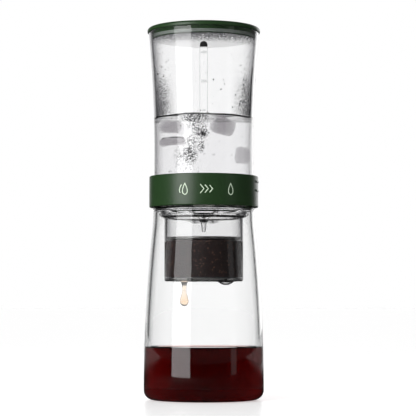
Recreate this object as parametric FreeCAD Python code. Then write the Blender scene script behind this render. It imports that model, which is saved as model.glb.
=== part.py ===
import FreeCAD, Part
import math
import os

# Cold brew coffee maker: a water tank drips through a metering valve into a cup of ground coffee,
# which hangs by its flange in the mouth of a glass carafe. Millimetres, +Z up, origin on the
# table at the centre of the foot. The front, with the dial's icons, faces -Y.

# Clearances
REST_GAP = 0.3          # between curved neighbours on different bodies
SLIP_FIT = 0.05         # radial, between pieces that are pushed together
RUNNING_FIT = 0.08      # radial, between pieces that slide or turn in each other

# Carafe
CARAFE_HEIGHT = 146.6
FOOT_RADIUS = 46.6
FOOT_CORNER = 7.6
FOOT_RING_INNER = 30.0
PUNT_RISE = 3.0
CARAFE_WALL = 2.8
SHOULDER_RADIUS = 40.2
SHOULDER_DROP = 14.8    # from the rim down to the shoulder
RIM_ROUNDING = 0.8

# Cup for the ground coffee
CUP_DEPTH = 55.0        # from the carafe's rim down to the cup's underside
CUP_RADIUS = 30.8
CUP_WALL = 1.8
CUP_FLOOR = 2.0
CUP_CORNER = 1.5
CUP_NECK_STEP = 3.0     # how far the neck stands out from the cup's wall
CUP_NECK_DEPTH = 4.6    # from the flange's underside down to the step
CUP_NECK_TAPER = 1.4
CUP_FLANGE = 1.1
CUP_FLANGE_INSET = 0.6  # the flange stops short of the carafe's outside
COVER_LEDGE_DROP = 4.0  # from the flange's top down to the cover's ledge
COVER_LEDGE = 2.0       # width of that ledge
CUP_HUB_RADIUS = 6.0
CUP_SPOKES = 6
CUP_SPOKE_WIDTH = 3.0
CUP_FLOOR_RIM = 3.0     # solid rim of the floor inside the wall

CENTRING_HEIGHT = 2.4
CENTRING_PROUD = 1.2    # how far the ring stands out from the neck
CENTRING_GROOVE = 0.8
CENTRING_DROP = 1.9     # from the flange's underside down to the ring

# Steel discs
DISC_THICKNESS = 0.5
DISC_HOLE_RADIUS = 0.8
DISC_HOLE_PITCH = 6.6   # between rings of holes, and between holes on a ring
RETAINER_WIDTH = 2.3
RETAINER_HEIGHT = 1.8
GROUNDS_DEPTH = 30.1    # from the floor's top up to the spreader
SPREADER_THICKNESS = 0.8
SPREADER_RIM = 2.2

# Cup cover
COVER_THICKNESS = 1.0
COVER_SKIRT = 2.2       # from the ledge down to the edge of the dish
COVER_DISH = 4.4        # from the edge of the dish down to its lip
COVER_LIP_RADIUS = 9.4
COVER_LIP_WIDTH = 2.4
COVER_LIP_HEIGHT = 2.1

# Funnel and nozzle
FUNNEL_PLATE = 1.4
FUNNEL_PLATE_RADIUS = 39.6
FUNNEL_CONE_RADIUS = 14.9
FUNNEL_CONE_DEPTH = 7.8
FUNNEL_WALL = 1.3
FUNNEL_BORE = 1.1
SPOUT_RADIUS = 2.3
SPOUT_LENGTH = 1.7
POSTS = 3
POST_RADIUS = 3.0
POST_CIRCLE = 26.0
PEG_RADIUS = 1.5
PEG_LENGTH = 5.2
COLLAR_RADIUS = 3.3
COLLAR_HEIGHT = 2.1
NOZZLE_TOP_RADIUS = 2.25
NOZZLE_TIP_RADIUS = 1.4
NOZZLE_LENGTH = 7.5
NOZZLE_BORE = 0.7

# Dial
DIAL_GAP = 0.9          # between the tank's wall and the dial's inside
DIAL_HEIGHT = 24.2
DIAL_WALL = 3.0
DIAL_POCKET_WALL = 1.7  # wall round the hub's web
DIAL_ROUNDING = 0.8
DIAL_LIFT = 0.2         # running gap over the funnel's plate
DIAL_TURN = 30.0        # degrees each way
WEB_LIFT = 1.3          # from the funnel's plate up to the web
WEB_THICKNESS = 1.6
HUB_TUBE_WALL = 2.0
HUB_TUBE_HEIGHT = 4.9
GRIP_RIB_HEIGHTS = (12.6, 19.6)     # above the dial's bottom edge
GRIP_RIB_HALF_HEIGHT = 0.9
GRIP_RIB_PROUD = 0.5
GRIP_RIB_ANGLE = 12.0
BEARING_WIDTH = 1.8
BEARING_HEIGHT = 1.5
BEARING_GROOVE = 0.6

# Tank
TANK_RADIUS = 38.65
TANK_WALL = 2.2
TANK_FLOOR = 2.2
TANK_SKIRT = 3.6        # from the floor's underside down to the wall's lower edge
TANK_HEIGHT = 129.9     # from the floor's underside up to the rim
TANK_STRAIGHT = 35.2    # from the floor's underside up to where the flare starts
TANK_FLARE = 4.55       # how far the rim stands out beyond the straight wall
TANK_CORNER = 2.0
TANK_RIM_ROUNDING = 0.6

# Metering valve
STEM_RADIUS = 8.5
STEM_BORE = 7.1
STEM_BELOW_FLOOR = 5.9
VALVE_FLANGE_RADIUS = 11.5
VALVE_FLANGE = 2.6
VALVE_ROOF = 0.9        # the flange's underside stands this far above the roof of the bore
O_RING_CIRCLE = 10.0
O_RING_SECTION = 0.8
O_RING_GROOVE_WIDTH = 0.9
CIRCLIP_THICKNESS = 0.8
CIRCLIP_DEPTH = 0.45
CIRCLIP_RADIUS = 9.6
CIRCLIP_GAP_ANGLE = 40.0
SEAT_RADIUS = 3.15
SEAT_HEIGHT = 1.4
SEAT_STEM_RADIUS = 1.95
SEAT_STEM = 1.1
ORIFICE_RADIUS = 1.0
SEAT_POCKET_DEPTH = 2.4
CARRIER_HEIGHT = 3.0
CARRIER_PASSAGE_RADIUS = 1.2
CARRIER_PASSAGE_CIRCLE = 4.4
PINS = 3
PIN_RADIUS = 0.7
PIN_INNER = 2.6
CAM_LEAD = 7.2          # rise of the needle in a full turn of the cam
NEEDLE_RADIUS = 1.2
NEEDLE_TIP_RADIUS = 0.25
NEEDLE_CONE = 3.5
CLOSED_GAP = 0.07       # round the needle with the dial at its slowest

# Lid
LID_OVERHANG = 1.0      # beyond the tank's rim
LID_THICKNESS = 3.5
LID_TOP_ROUNDING = 2.2
LID_BOTTOM_ROUNDING = 0.5
PLUG_DEPTH = 5.5
PLUG_GAP = 1.4          # from the tank's wall
PLUG_WALL = 2.6
PLUG_FLOOR = 1.6
SEAL_HEIGHT = 2.5
SEAL_GROOVE = 1.0
SEAL_FLOOR = 0.7        # from the plug's underside up to the seal
SEAL_RIB = 0.7
VENT_RADIUS = 1.2
VENT_OFFSET = 25.0

# Heights and widths that follow
CUP_TOP = CARAFE_HEIGHT + CUP_FLANGE
CUP_BOTTOM = CARAFE_HEIGHT - CUP_DEPTH
CUP_FLOOR_TOP = CUP_BOTTOM + CUP_FLOOR
CUP_INNER = CUP_RADIUS - CUP_WALL
CUP_MOUTH = CUP_INNER + COVER_LEDGE
CUP_NECK = CUP_RADIUS + CUP_NECK_STEP
LEDGE_Z = CUP_TOP - COVER_LEDGE_DROP
SPREADER_Z = CUP_FLOOR_TOP + GROUNDS_DEPTH
PLATE_TOP = CUP_TOP + FUNNEL_PLATE
DIAL_BOTTOM = PLATE_TOP + DIAL_LIFT
WEB_Z = PLATE_TOP + WEB_LIFT
WEB_TOP = WEB_Z + WEB_THICKNESS
BEARING_TOP = WEB_TOP - BEARING_GROOVE + BEARING_HEIGHT
SKIRT_Z = BEARING_TOP + RUNNING_FIT
FLOOR_Z = SKIRT_Z + TANK_SKIRT
FLOOR_TOP = FLOOR_Z + TANK_FLOOR
TANK_TOP = FLOOR_Z + TANK_HEIGHT
STEM_Z = FLOOR_Z - STEM_BELOW_FLOOR
ROOF_Z = FLOOR_TOP - VALVE_ROOF
HUB_TUBE_INNER = STEM_RADIUS + REST_GAP
HUB_TUBE_OUTER = HUB_TUBE_INNER + HUB_TUBE_WALL
PIN_Z = WEB_Z + HUB_TUBE_HEIGHT / 2 + REST_GAP
LIFT = CAM_LEAD * DIAL_TURN / 360
CARRIER_Z = PIN_Z - CARRIER_HEIGHT / 2
PLUG_Z = TANK_TOP - PLUG_DEPTH
SEAL_Z = PLUG_Z + SEAL_FLOOR

# Radii that follow
DIAL_RADIUS = TANK_RADIUS + DIAL_GAP + DIAL_WALL
TANK_RIM_RADIUS = TANK_RADIUS + TANK_FLARE
LID_RADIUS = TANK_RIM_RADIUS + LID_OVERHANG

UP = FreeCAD.Vector(0, 0, 1)
CENTRE = FreeCAD.Vector(0, 0, 0)


class WallArc:
    """An arc of wall that stands upright at its start and leans to its end."""

    def __init__(self, start, end):
        rise = end[1] - start[1]
        lean = end[0] - start[0]
        self.side = 1 if lean < 0 else -1
        self.radius = (rise ** 2 + lean ** 2) / (2 * abs(lean))
        self.centre_r = start[0] - self.side * self.radius
        self.centre_z = start[1]
        self.angle = math.asin(rise / self.radius)

    def point(self, share, inset=0.0):
        """Return the point at a share of the arc, moved in towards the axis."""
        reach = self.radius - self.side * inset
        angle = self.angle * share
        return (self.centre_r + self.side * reach * math.cos(angle),
                self.centre_z + reach * math.sin(angle))

    def radius_at(self, z, inset=0.0):
        """Return the wall's radius at a height."""
        reach = self.radius - self.side * inset
        return self.centre_r + self.side * math.sqrt(reach ** 2 - (z - self.centre_z) ** 2)


class Outline:
    """A closed outline in radius and height, which is turned about the vertical axis."""

    def __init__(self, r, z):
        self.corners = [(r, z, 0.0)]
        self.arcs = {}

    def line(self, r, z, rounding=0.0):
        """Go straight to a corner, which may be rounded where two lines meet."""
        self.corners.append((r, z, rounding))
        return self

    def arc(self, through, to):
        """Go to a point by an arc through another."""
        self.arcs[len(self.corners)] = through
        self.corners.append((to[0], to[1], 0.0))
        return self

    def edges(self):
        """Return the outline's edges with its corners rounded."""
        count = len(self.corners)
        leave = []
        arrive = []
        bends = []
        for i, (r, z, rounding) in enumerate(self.corners):
            here = FreeCAD.Vector(r, 0, z)
            if rounding == 0.0:
                leave.append(here)
                arrive.append(here)
                bends.append(None)
                continue
            before = FreeCAD.Vector(self.corners[i - 1][0], 0, self.corners[i - 1][1])
            after = FreeCAD.Vector(self.corners[(i + 1) % count][0], 0, self.corners[(i + 1) % count][1])
            back = (before - here).normalize()
            onward = (after - here).normalize()
            half = back.getAngle(onward) / 2
            cut = rounding / math.tan(half)
            middle = (back + onward).normalize() * (rounding / math.sin(half) - rounding)
            arrive.append(here + back * cut)
            leave.append(here + onward * cut)
            bends.append(here + middle)
        edges = []
        for i in range(count):
            following = (i + 1) % count
            if following in self.arcs:
                through = self.arcs[following]
                bow = FreeCAD.Vector(through[0], 0, through[1])
                edges.append(Part.Arc(leave[i], bow, arrive[following]).toShape())
            elif leave[i].distanceToPoint(arrive[following]) > 1e-6:
                edges.append(Part.LineSegment(leave[i], arrive[following]).toShape())
            if bends[following] is not None:
                edges.append(Part.Arc(arrive[following], bends[following], leave[following]).toShape())
        return edges

    def turned(self, angle=360.0, start=0.0):
        """Return the solid that the outline sweeps about the vertical axis."""
        face = Part.Face(Part.Wire(self.edges()))
        face.rotate(CENTRE, UP, start)
        solid = face.revolve(CENTRE, UP, angle)
        if solid.Volume < 0:
            solid.reverse()
        return solid


def ring(inner, outer, low, high):
    """Return a plain ring."""
    return Outline(inner, low).line(outer, low).line(outer, high).line(inner, high).turned()


def disc(radius, low, high):
    """Return a plain disc."""
    return Part.makeCylinder(radius, high - low, FreeCAD.Vector(0, 0, low))


def post(radius, circle, angle, low, high):
    """Return an upright round bar off the axis."""
    turn = math.radians(angle)
    base = FreeCAD.Vector(circle * math.cos(turn), circle * math.sin(turn), low)
    return Part.makeCylinder(radius, high - low, base)


def radial_bar(radius, inner, outer, angle, z):
    """Return a round bar that points away from the axis."""
    turn = math.radians(angle)
    way = FreeCAD.Vector(math.cos(turn), math.sin(turn), 0)
    return Part.makeCylinder(radius, outer - inner, way * inner + UP * z, way)


def around(count, first=90.0):
    """Return the angles of equal steps round the axis."""
    return [first + 360.0 * i / count for i in range(count)]


def dome(radius, rise, z):
    """Return the point half way out on a shallow dome."""
    sphere = (radius ** 2 + rise ** 2) / (2 * rise)
    half = radius / 2
    return (half, z + rise - (sphere - math.sqrt(sphere ** 2 - half ** 2)))


def holes(radius, low, high):
    """Return the holes of a perforated disc, in rings that keep one pitch."""
    cutters = []
    reach = DISC_HOLE_PITCH
    while reach < radius - DISC_HOLE_PITCH / 2:
        count = max(int(2 * math.pi * reach / DISC_HOLE_PITCH), 3)
        for angle in around(count):
            cutters.append(post(DISC_HOLE_RADIUS, reach, angle, low, high))
        reach += DISC_HOLE_PITCH
    return Part.makeCompound(cutters)


# Carafe

BODY_ARC = WallArc((FOOT_RADIUS, FOOT_CORNER), (SHOULDER_RADIUS, CARAFE_HEIGHT - SHOULDER_DROP))
NECK_ARC_RADIUS = SHOULDER_DROP / math.sin(BODY_ARC.angle)
NECK_RADIUS = SHOULDER_RADIUS - NECK_ARC_RADIUS * (1 - math.cos(BODY_ARC.angle))
NECK_ARC = WallArc((NECK_RADIUS, CARAFE_HEIGHT), (SHOULDER_RADIUS, CARAFE_HEIGHT - SHOULDER_DROP))
NECK_INNER = NECK_RADIUS - CARAFE_WALL


def carafe():
    """Return the glass carafe with its domed floor and plain rim."""
    corner_r = FOOT_RADIUS - FOOT_CORNER
    bend = FOOT_CORNER * math.sqrt(0.5)
    inner_corner = FOOT_CORNER - CARAFE_WALL
    inner_bend = inner_corner * math.sqrt(0.5)
    rim_share = RIM_ROUNDING / SHOULDER_DROP
    rim = RIM_ROUNDING * (1 - math.sqrt(0.5))
    outline = Outline(0, PUNT_RISE)
    outline.arc(dome(FOOT_RING_INNER, PUNT_RISE, 0), (FOOT_RING_INNER, 0))
    outline.line(corner_r, 0)
    outline.arc((corner_r + bend, FOOT_CORNER - bend), (FOOT_RADIUS, FOOT_CORNER))
    outline.arc(BODY_ARC.point(0.5), BODY_ARC.point(1))
    outline.arc(NECK_ARC.point(0.5), NECK_ARC.point(rim_share))
    outline.arc((NECK_RADIUS - rim, CARAFE_HEIGHT - rim), (NECK_RADIUS - RIM_ROUNDING, CARAFE_HEIGHT))
    outline.line(NECK_INNER + RIM_ROUNDING, CARAFE_HEIGHT)
    outline.arc((NECK_INNER + rim, CARAFE_HEIGHT - rim), NECK_ARC.point(rim_share, CARAFE_WALL))
    outline.arc(NECK_ARC.point(0.5, CARAFE_WALL), NECK_ARC.point(1, CARAFE_WALL))
    outline.arc(BODY_ARC.point(0.5, CARAFE_WALL), BODY_ARC.point(0, CARAFE_WALL))
    outline.arc((corner_r + inner_bend, FOOT_CORNER - inner_bend), (corner_r, CARAFE_WALL))
    outline.line(FOOT_RING_INNER, CARAFE_WALL)
    outline.arc(dome(FOOT_RING_INNER, PUNT_RISE, CARAFE_WALL), (0, CARAFE_WALL + PUNT_RISE))
    return outline.turned()


# Cup

def cup_body():
    """Return the cup: flange, grooved neck, ledge for the cover and a floor of spokes."""
    step_z = CARAFE_HEIGHT - CUP_NECK_DEPTH
    groove_top = CARAFE_HEIGHT - CENTRING_DROP
    groove_low = groove_top - CENTRING_HEIGHT
    groove_r = CUP_NECK - CENTRING_GROOVE
    flange_r = NECK_RADIUS - CUP_FLANGE_INSET
    outline = Outline(0, CUP_BOTTOM)
    outline.line(CUP_RADIUS, CUP_BOTTOM, CUP_CORNER)
    outline.line(CUP_RADIUS, step_z - CUP_NECK_TAPER)
    outline.line(CUP_NECK, step_z)
    outline.line(CUP_NECK, groove_low).line(groove_r, groove_low)
    outline.line(groove_r, groove_top).line(CUP_NECK, groove_top)
    outline.line(CUP_NECK, CARAFE_HEIGHT)
    outline.line(flange_r, CARAFE_HEIGHT).line(flange_r, CUP_TOP)
    outline.line(CUP_MOUTH, CUP_TOP).line(CUP_MOUTH, LEDGE_Z)
    outline.line(CUP_INNER, LEDGE_Z).line(CUP_INNER, CUP_FLOOR_TOP)
    outline.line(0, CUP_FLOOR_TOP)
    windows = ring(CUP_HUB_RADIUS, CUP_INNER - CUP_FLOOR_RIM, CUP_BOTTOM - 1, CUP_FLOOR_TOP + 1)
    spokes = []
    for angle in around(CUP_SPOKES, 0):
        corner = FreeCAD.Vector(0, -CUP_SPOKE_WIDTH / 2, CUP_BOTTOM - 2)
        spoke = Part.makeBox(CUP_RADIUS, CUP_SPOKE_WIDTH, CUP_FLOOR + 4, corner)
        spoke.rotate(CENTRE, UP, angle)
        spokes.append(spoke)
    return outline.turned().cut(windows.cut(Part.makeCompound(spokes)))


def cup_centring_ring():
    """Return the soft ring in the neck's groove."""
    top = CARAFE_HEIGHT - CENTRING_DROP
    low = top - CENTRING_HEIGHT
    inner = CUP_NECK - CENTRING_GROOVE + SLIP_FIT
    outer = CUP_NECK + CENTRING_PROUD
    rounding = CENTRING_HEIGHT / 3
    outline = Outline(inner, low).line(outer, low, rounding)
    return outline.line(outer, top, rounding).line(inner, top).turned()


def cup_filter_disc():
    """Return the perforated disc on the cup's floor."""
    radius = CUP_INNER - REST_GAP
    top = CUP_FLOOR_TOP + DISC_THICKNESS
    cutters = holes(radius - RETAINER_WIDTH, CUP_FLOOR_TOP - 1, top + 1)
    return disc(radius, CUP_FLOOR_TOP, top).cut(cutters)


def filter_retaining_ring():
    """Return the ring that holds the filter disc down."""
    low = CUP_FLOOR_TOP + DISC_THICKNESS
    outer = CUP_INNER - SLIP_FIT
    return ring(outer - RETAINER_WIDTH, outer, low, low + RETAINER_HEIGHT)


def spreader_disc():
    """Return the perforated dish that spreads the drips over the grounds."""
    radius = CUP_INNER - REST_GAP
    top = SPREADER_Z + SPREADER_THICKNESS
    inner = radius - SPREADER_THICKNESS
    outline = Outline(0, SPREADER_Z)
    outline.line(radius, SPREADER_Z, SPREADER_THICKNESS)
    outline.line(radius, SPREADER_Z + SPREADER_RIM)
    outline.line(inner, SPREADER_Z + SPREADER_RIM)
    outline.line(inner, top).line(0, top)
    return outline.turned().cut(holes(inner, SPREADER_Z - 1, top + 1))


def cup_cover():
    """Return the cover: a dish that falls to a turned-up lip round an open centre."""
    skirt = CUP_INNER - REST_GAP
    skirt_inner = skirt - COVER_THICKNESS
    rim = CUP_MOUTH - REST_GAP
    rim_top = LEDGE_Z + COVER_THICKNESS
    edge = LEDGE_Z - COVER_SKIRT
    low = edge - COVER_DISH
    middle = (skirt + COVER_LIP_RADIUS) / 2
    sag = edge - COVER_DISH * 0.4
    hole = COVER_LIP_RADIUS - COVER_LIP_WIDTH
    curl = hole + COVER_LIP_WIDTH * 0.28
    lip = low + COVER_LIP_HEIGHT
    outline = Outline(skirt, LEDGE_Z).line(skirt, edge)
    outline.arc((middle, sag), (COVER_LIP_RADIUS, low))
    outline.arc((curl, low + COVER_LIP_HEIGHT * 0.3), (hole, lip))
    outline.line(hole + COVER_THICKNESS * 0.8, lip)
    inner_curl = (curl + COVER_THICKNESS * 0.75, low + COVER_LIP_HEIGHT * 0.3 + COVER_THICKNESS * 0.7)
    outline.arc(inner_curl, (COVER_LIP_RADIUS, low + COVER_THICKNESS))
    outline.arc((middle, sag + COVER_THICKNESS), (skirt_inner, edge + COVER_THICKNESS))
    outline.line(skirt_inner, rim_top).line(rim, rim_top).line(rim, LEDGE_Z)
    return outline.turned()


# Funnel and nozzle

def drip_funnel():
    """Return the plate with its cone, spout and three posts."""
    cone_low = CUP_TOP - FUNNEL_CONE_DEPTH
    spout_low = cone_low - SPOUT_LENGTH
    outline = Outline(FUNNEL_BORE, spout_low).line(SPOUT_RADIUS, spout_low)
    outline.line(SPOUT_RADIUS, cone_low).line(FUNNEL_CONE_RADIUS, CUP_TOP)
    outline.line(FUNNEL_PLATE_RADIUS, CUP_TOP).line(FUNNEL_PLATE_RADIUS, PLATE_TOP)
    outline.line(FUNNEL_CONE_RADIUS, PLATE_TOP).line(FUNNEL_BORE, cone_low + FUNNEL_WALL)
    body = outline.turned()
    for angle in around(POSTS):
        bar = post(POST_RADIUS, POST_CIRCLE, angle, CUP_TOP, FLOOR_Z)
        socket = post(PEG_RADIUS + SLIP_FIT, POST_CIRCLE, angle, FLOOR_Z - PEG_LENGTH - REST_GAP, FLOOR_Z + 1)
        body = body.fuse(bar).cut(socket)
    return body.removeSplitter()


def drip_nozzle():
    """Return the collar and tapered outlet on the funnel's spout."""
    top = CUP_TOP - FUNNEL_CONE_DEPTH
    shoulder = top - COLLAR_HEIGHT
    spout_low = top - SPOUT_LENGTH
    tip = shoulder - NOZZLE_LENGTH
    socket = SPOUT_RADIUS + SLIP_FIT
    outline = Outline(NOZZLE_BORE, tip).line(NOZZLE_TIP_RADIUS, tip)
    outline.line(NOZZLE_TOP_RADIUS, shoulder).line(COLLAR_RADIUS, shoulder)
    outline.line(COLLAR_RADIUS, top).line(socket, top)
    outline.line(socket, spout_low).line(NOZZLE_BORE, spout_low)
    return outline.turned()


# Dial

def dial_ring():
    """Return the ring that is turned by hand, with its two grip ribs."""
    top = DIAL_BOTTOM + DIAL_HEIGHT
    inner = DIAL_RADIUS - DIAL_WALL
    pocket = DIAL_RADIUS - DIAL_POCKET_WALL
    outline = Outline(pocket, DIAL_BOTTOM)
    outline.line(DIAL_RADIUS, DIAL_BOTTOM, DIAL_ROUNDING)
    outline.line(DIAL_RADIUS, top, DIAL_ROUNDING)
    outline.line(inner, top, DIAL_ROUNDING / 2)
    outline.line(inner, WEB_TOP).line(pocket, WEB_TOP)
    body = outline.turned()
    proud = DIAL_RADIUS + GRIP_RIB_PROUD
    sunk = DIAL_RADIUS - DIAL_POCKET_WALL / 2
    for height in GRIP_RIB_HEIGHTS:
        low = DIAL_BOTTOM + height - GRIP_RIB_HALF_HEIGHT
        high = low + 2 * GRIP_RIB_HALF_HEIGHT
        rib = Outline(sunk, low).line(proud, low, GRIP_RIB_PROUD).line(proud, high, GRIP_RIB_PROUD)
        body = body.fuse(rib.line(sunk, high).turned(GRIP_RIB_ANGLE, -GRIP_RIB_ANGLE / 2))
    return body


def cam_slot(angle):
    """Return the cutter for one cam slot, which falls as the angle round the hub grows."""
    half = PIN_RADIUS + RUNNING_FIT
    inner = HUB_TUBE_INNER - 1
    outer = HUB_TUBE_OUTER + 1
    overrun = math.degrees(half / HUB_TUBE_INNER) + 1
    sweep = 2 * (DIAL_TURN + overrun)
    rise = CAM_LEAD * sweep / 360
    path = Part.makeHelix(CAM_LEAD, rise, (inner + outer) / 2, 0, True)
    corners = [FreeCAD.Vector(inner, 0, -half), FreeCAD.Vector(outer, 0, -half),
               FreeCAD.Vector(outer, 0, half), FreeCAD.Vector(inner, 0, half)]
    section = Part.makePolygon(corners + corners[:1])
    slot = Part.Wire(path.Edges).makePipeShell([section], True, True)
    slot.translate(FreeCAD.Vector(0, 0, PIN_Z - rise / 2))
    slot.rotate(CENTRE, UP, angle + sweep / 2)
    return slot


def dial_hub():
    """Return the web with its three arc slots and the cam tube."""
    rim = DIAL_RADIUS - DIAL_POCKET_WALL - SLIP_FIT
    groove_low = WEB_TOP - BEARING_GROOVE
    groove_outer = TANK_RADIUS - SLIP_FIT
    groove_inner = groove_outer - BEARING_WIDTH - 2 * SLIP_FIT
    tube_top = WEB_Z + HUB_TUBE_HEIGHT
    outline = Outline(HUB_TUBE_INNER, WEB_Z).line(rim, WEB_Z).line(rim, WEB_TOP)
    outline.line(groove_outer, WEB_TOP).line(groove_outer, groove_low)
    outline.line(groove_inner, groove_low).line(groove_inner, WEB_TOP)
    outline.line(HUB_TUBE_OUTER, WEB_TOP).line(HUB_TUBE_OUTER, tube_top)
    outline.line(HUB_TUBE_INNER, tube_top)
    body = outline.turned()
    slot_half = POST_RADIUS + REST_GAP
    for angle in around(POSTS):
        arc = Outline(POST_CIRCLE - slot_half, WEB_Z - 1).line(POST_CIRCLE + slot_half, WEB_Z - 1)
        arc.line(POST_CIRCLE + slot_half, WEB_TOP + 1).line(POST_CIRCLE - slot_half, WEB_TOP + 1)
        ends = [post(slot_half, POST_CIRCLE, angle + end, WEB_Z - 1, WEB_TOP + 1)
                for end in (-DIAL_TURN, DIAL_TURN)]
        body = body.cut(arc.turned(2 * DIAL_TURN, angle - DIAL_TURN).multiFuse(ends))
    for angle in around(PINS):
        body = body.cut(cam_slot(angle))
    return body


def dial_bearing_ring():
    """Return the slide ring that carries the tank's skirt on the web."""
    outer = TANK_RADIUS - 2 * SLIP_FIT
    return ring(outer - BEARING_WIDTH, outer, WEB_TOP - BEARING_GROOVE, BEARING_TOP)


# Tank

TANK_ARC = WallArc((TANK_RADIUS, FLOOR_Z + TANK_STRAIGHT), (TANK_RIM_RADIUS, TANK_TOP))


def tank_body():
    """Return the flared tank with its skirt, floor, valve hole and three pegs."""
    inner = TANK_RADIUS - TANK_WALL
    straight_z = FLOOR_Z + TANK_STRAIGHT
    hole = STEM_RADIUS + RUNNING_FIT
    rim = TANK_ARC.point(1)
    rim_inner = TANK_ARC.radius_at(TANK_TOP, TANK_WALL)
    half_height = (straight_z + TANK_TOP) / 2
    outline = Outline(inner, SKIRT_Z).line(TANK_RADIUS, SKIRT_Z).line(TANK_RADIUS, straight_z)
    outline.arc(TANK_ARC.point(0.5), rim)
    outline.line(rim_inner, TANK_TOP)
    outline.arc((TANK_ARC.radius_at(half_height, TANK_WALL), half_height), (inner, straight_z))
    outline.line(inner, FLOOR_TOP, TANK_CORNER)
    outline.line(hole, FLOOR_TOP).line(hole, FLOOR_Z).line(inner, FLOOR_Z)
    body = outline.turned()
    pegs = [post(PEG_RADIUS, POST_CIRCLE, angle, FLOOR_Z - PEG_LENGTH, FLOOR_Z + TANK_FLOOR / 2)
            for angle in around(POSTS)]
    body = body.multiFuse(pegs)
    rims = [edge for edge in body.Edges if edge.BoundBox.ZMin > TANK_TOP - 0.01 and edge.Closed]
    return body.makeFillet(TANK_RIM_ROUNDING, rims)


# Metering valve

def valve_body():
    """Return the fitting through the tank's floor, slotted for the cam pins."""
    top = FLOOR_TOP + VALVE_FLANGE
    pocket_z = top - SEAT_POCKET_DEPTH
    groove_top = FLOOR_TOP + 2 * O_RING_SECTION + SLIP_FIT
    clip_r = STEM_RADIUS - CIRCLIP_DEPTH
    clip_top = FLOOR_Z - SLIP_FIT
    clip_low = clip_top - CIRCLIP_THICKNESS
    stem_hole = SEAT_STEM_RADIUS + SLIP_FIT
    outline = Outline(STEM_BORE, STEM_Z).line(STEM_RADIUS, STEM_Z)
    outline.line(STEM_RADIUS, clip_low).line(clip_r, clip_low)
    outline.line(clip_r, FLOOR_Z).line(STEM_RADIUS, FLOOR_Z)
    outline.line(STEM_RADIUS, FLOOR_TOP).line(VALVE_FLANGE_RADIUS, FLOOR_TOP)
    outline.line(VALVE_FLANGE_RADIUS, top, DIAL_ROUNDING)
    outline.line(SEAT_RADIUS + SLIP_FIT, top).line(SEAT_RADIUS + SLIP_FIT, pocket_z)
    outline.line(stem_hole, pocket_z).line(stem_hole, ROOF_Z).line(STEM_BORE, ROOF_Z)
    groove = ring(O_RING_CIRCLE - O_RING_GROOVE_WIDTH, O_RING_CIRCLE + O_RING_GROOVE_WIDTH,
                  FLOOR_TOP - 1, groove_top)
    body = outline.turned().cut(groove)
    slot_top = PIN_Z + LIFT
    for angle in around(PINS):
        head = radial_bar(PIN_RADIUS + RUNNING_FIT, STEM_BORE - 1, STEM_RADIUS + 1, angle, slot_top)
        corner = FreeCAD.Vector(STEM_BORE - 1, -PIN_RADIUS - RUNNING_FIT, STEM_Z - 1)
        size = STEM_RADIUS - STEM_BORE + 2
        slot = Part.makeBox(size, 2 * (PIN_RADIUS + RUNNING_FIT), slot_top - STEM_Z + 1, corner)
        slot.rotate(CENTRE, UP, angle)
        body = body.cut(slot.fuse(head))
    return body


def valve_o_ring():
    """Return the seal between the valve's flange and the tank's floor."""
    return Part.makeTorus(O_RING_CIRCLE, O_RING_SECTION, FreeCAD.Vector(0, 0, FLOOR_TOP + O_RING_SECTION))


def valve_circlip():
    """Return the split clip that holds the valve down."""
    inner = STEM_RADIUS - CIRCLIP_DEPTH + SLIP_FIT
    top = FLOOR_Z - SLIP_FIT
    outline = Outline(inner, top - CIRCLIP_THICKNESS).line(CIRCLIP_RADIUS, top - CIRCLIP_THICKNESS)
    outline.line(CIRCLIP_RADIUS, top).line(inner, top)
    return outline.turned(360 - CIRCLIP_GAP_ANGLE, CIRCLIP_GAP_ANGLE / 2)


def valve_seat():
    """Return the soft bush with the orifice that the needle enters."""
    pocket_z = FLOOR_TOP + VALVE_FLANGE - SEAT_POCKET_DEPTH
    outline = Outline(ORIFICE_RADIUS, pocket_z - SEAT_STEM).line(SEAT_STEM_RADIUS, pocket_z - SEAT_STEM)
    outline.line(SEAT_STEM_RADIUS, pocket_z).line(SEAT_RADIUS, pocket_z)
    outline.line(SEAT_RADIUS, pocket_z + SEAT_HEIGHT).line(ORIFICE_RADIUS, pocket_z + SEAT_HEIGHT)
    return outline.turned()


def needle_carrier():
    """Return the slide that carries the needle up and down in the valve's bore."""
    top = CARRIER_Z + CARRIER_HEIGHT
    cutters = [disc(NEEDLE_RADIUS + SLIP_FIT, CARRIER_Z - 1, top + 1)]
    for angle in around(PINS):
        cutters.append(radial_bar(PIN_RADIUS + SLIP_FIT, PIN_INNER, STEM_BORE + 1, angle, PIN_Z))
        between = angle + 180.0 / PINS
        cutters.append(post(CARRIER_PASSAGE_RADIUS, CARRIER_PASSAGE_CIRCLE, between, CARRIER_Z - 1, top + 1))
    return disc(STEM_BORE - RUNNING_FIT, CARRIER_Z, top).cut(Part.makeCompound(cutters))


def cam_pins():
    """Return the three pins that run in the valve's and the hub's slots."""
    outer = HUB_TUBE_OUTER - REST_GAP
    pins = [radial_bar(PIN_RADIUS, PIN_INNER, outer, angle, PIN_Z) for angle in around(PINS)]
    return Part.makeCompound(pins)


def needle():
    """Return the metering needle, a shaft with a long cone."""
    mouth = FLOOR_TOP + VALVE_FLANGE - SEAT_POCKET_DEPTH - SEAT_STEM
    slope = (NEEDLE_RADIUS - NEEDLE_TIP_RADIUS) / NEEDLE_CONE
    at_mouth = ORIFICE_RADIUS - CLOSED_GAP - slope * LIFT
    cone_z = mouth - (NEEDLE_RADIUS - at_mouth) / slope
    outline = Outline(0, CARRIER_Z).line(NEEDLE_RADIUS, CARRIER_Z).line(NEEDLE_RADIUS, cone_z)
    outline.line(NEEDLE_TIP_RADIUS, cone_z + NEEDLE_CONE).line(0, cone_z + NEEDLE_CONE)
    return outline.turned()


# Lid

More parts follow.
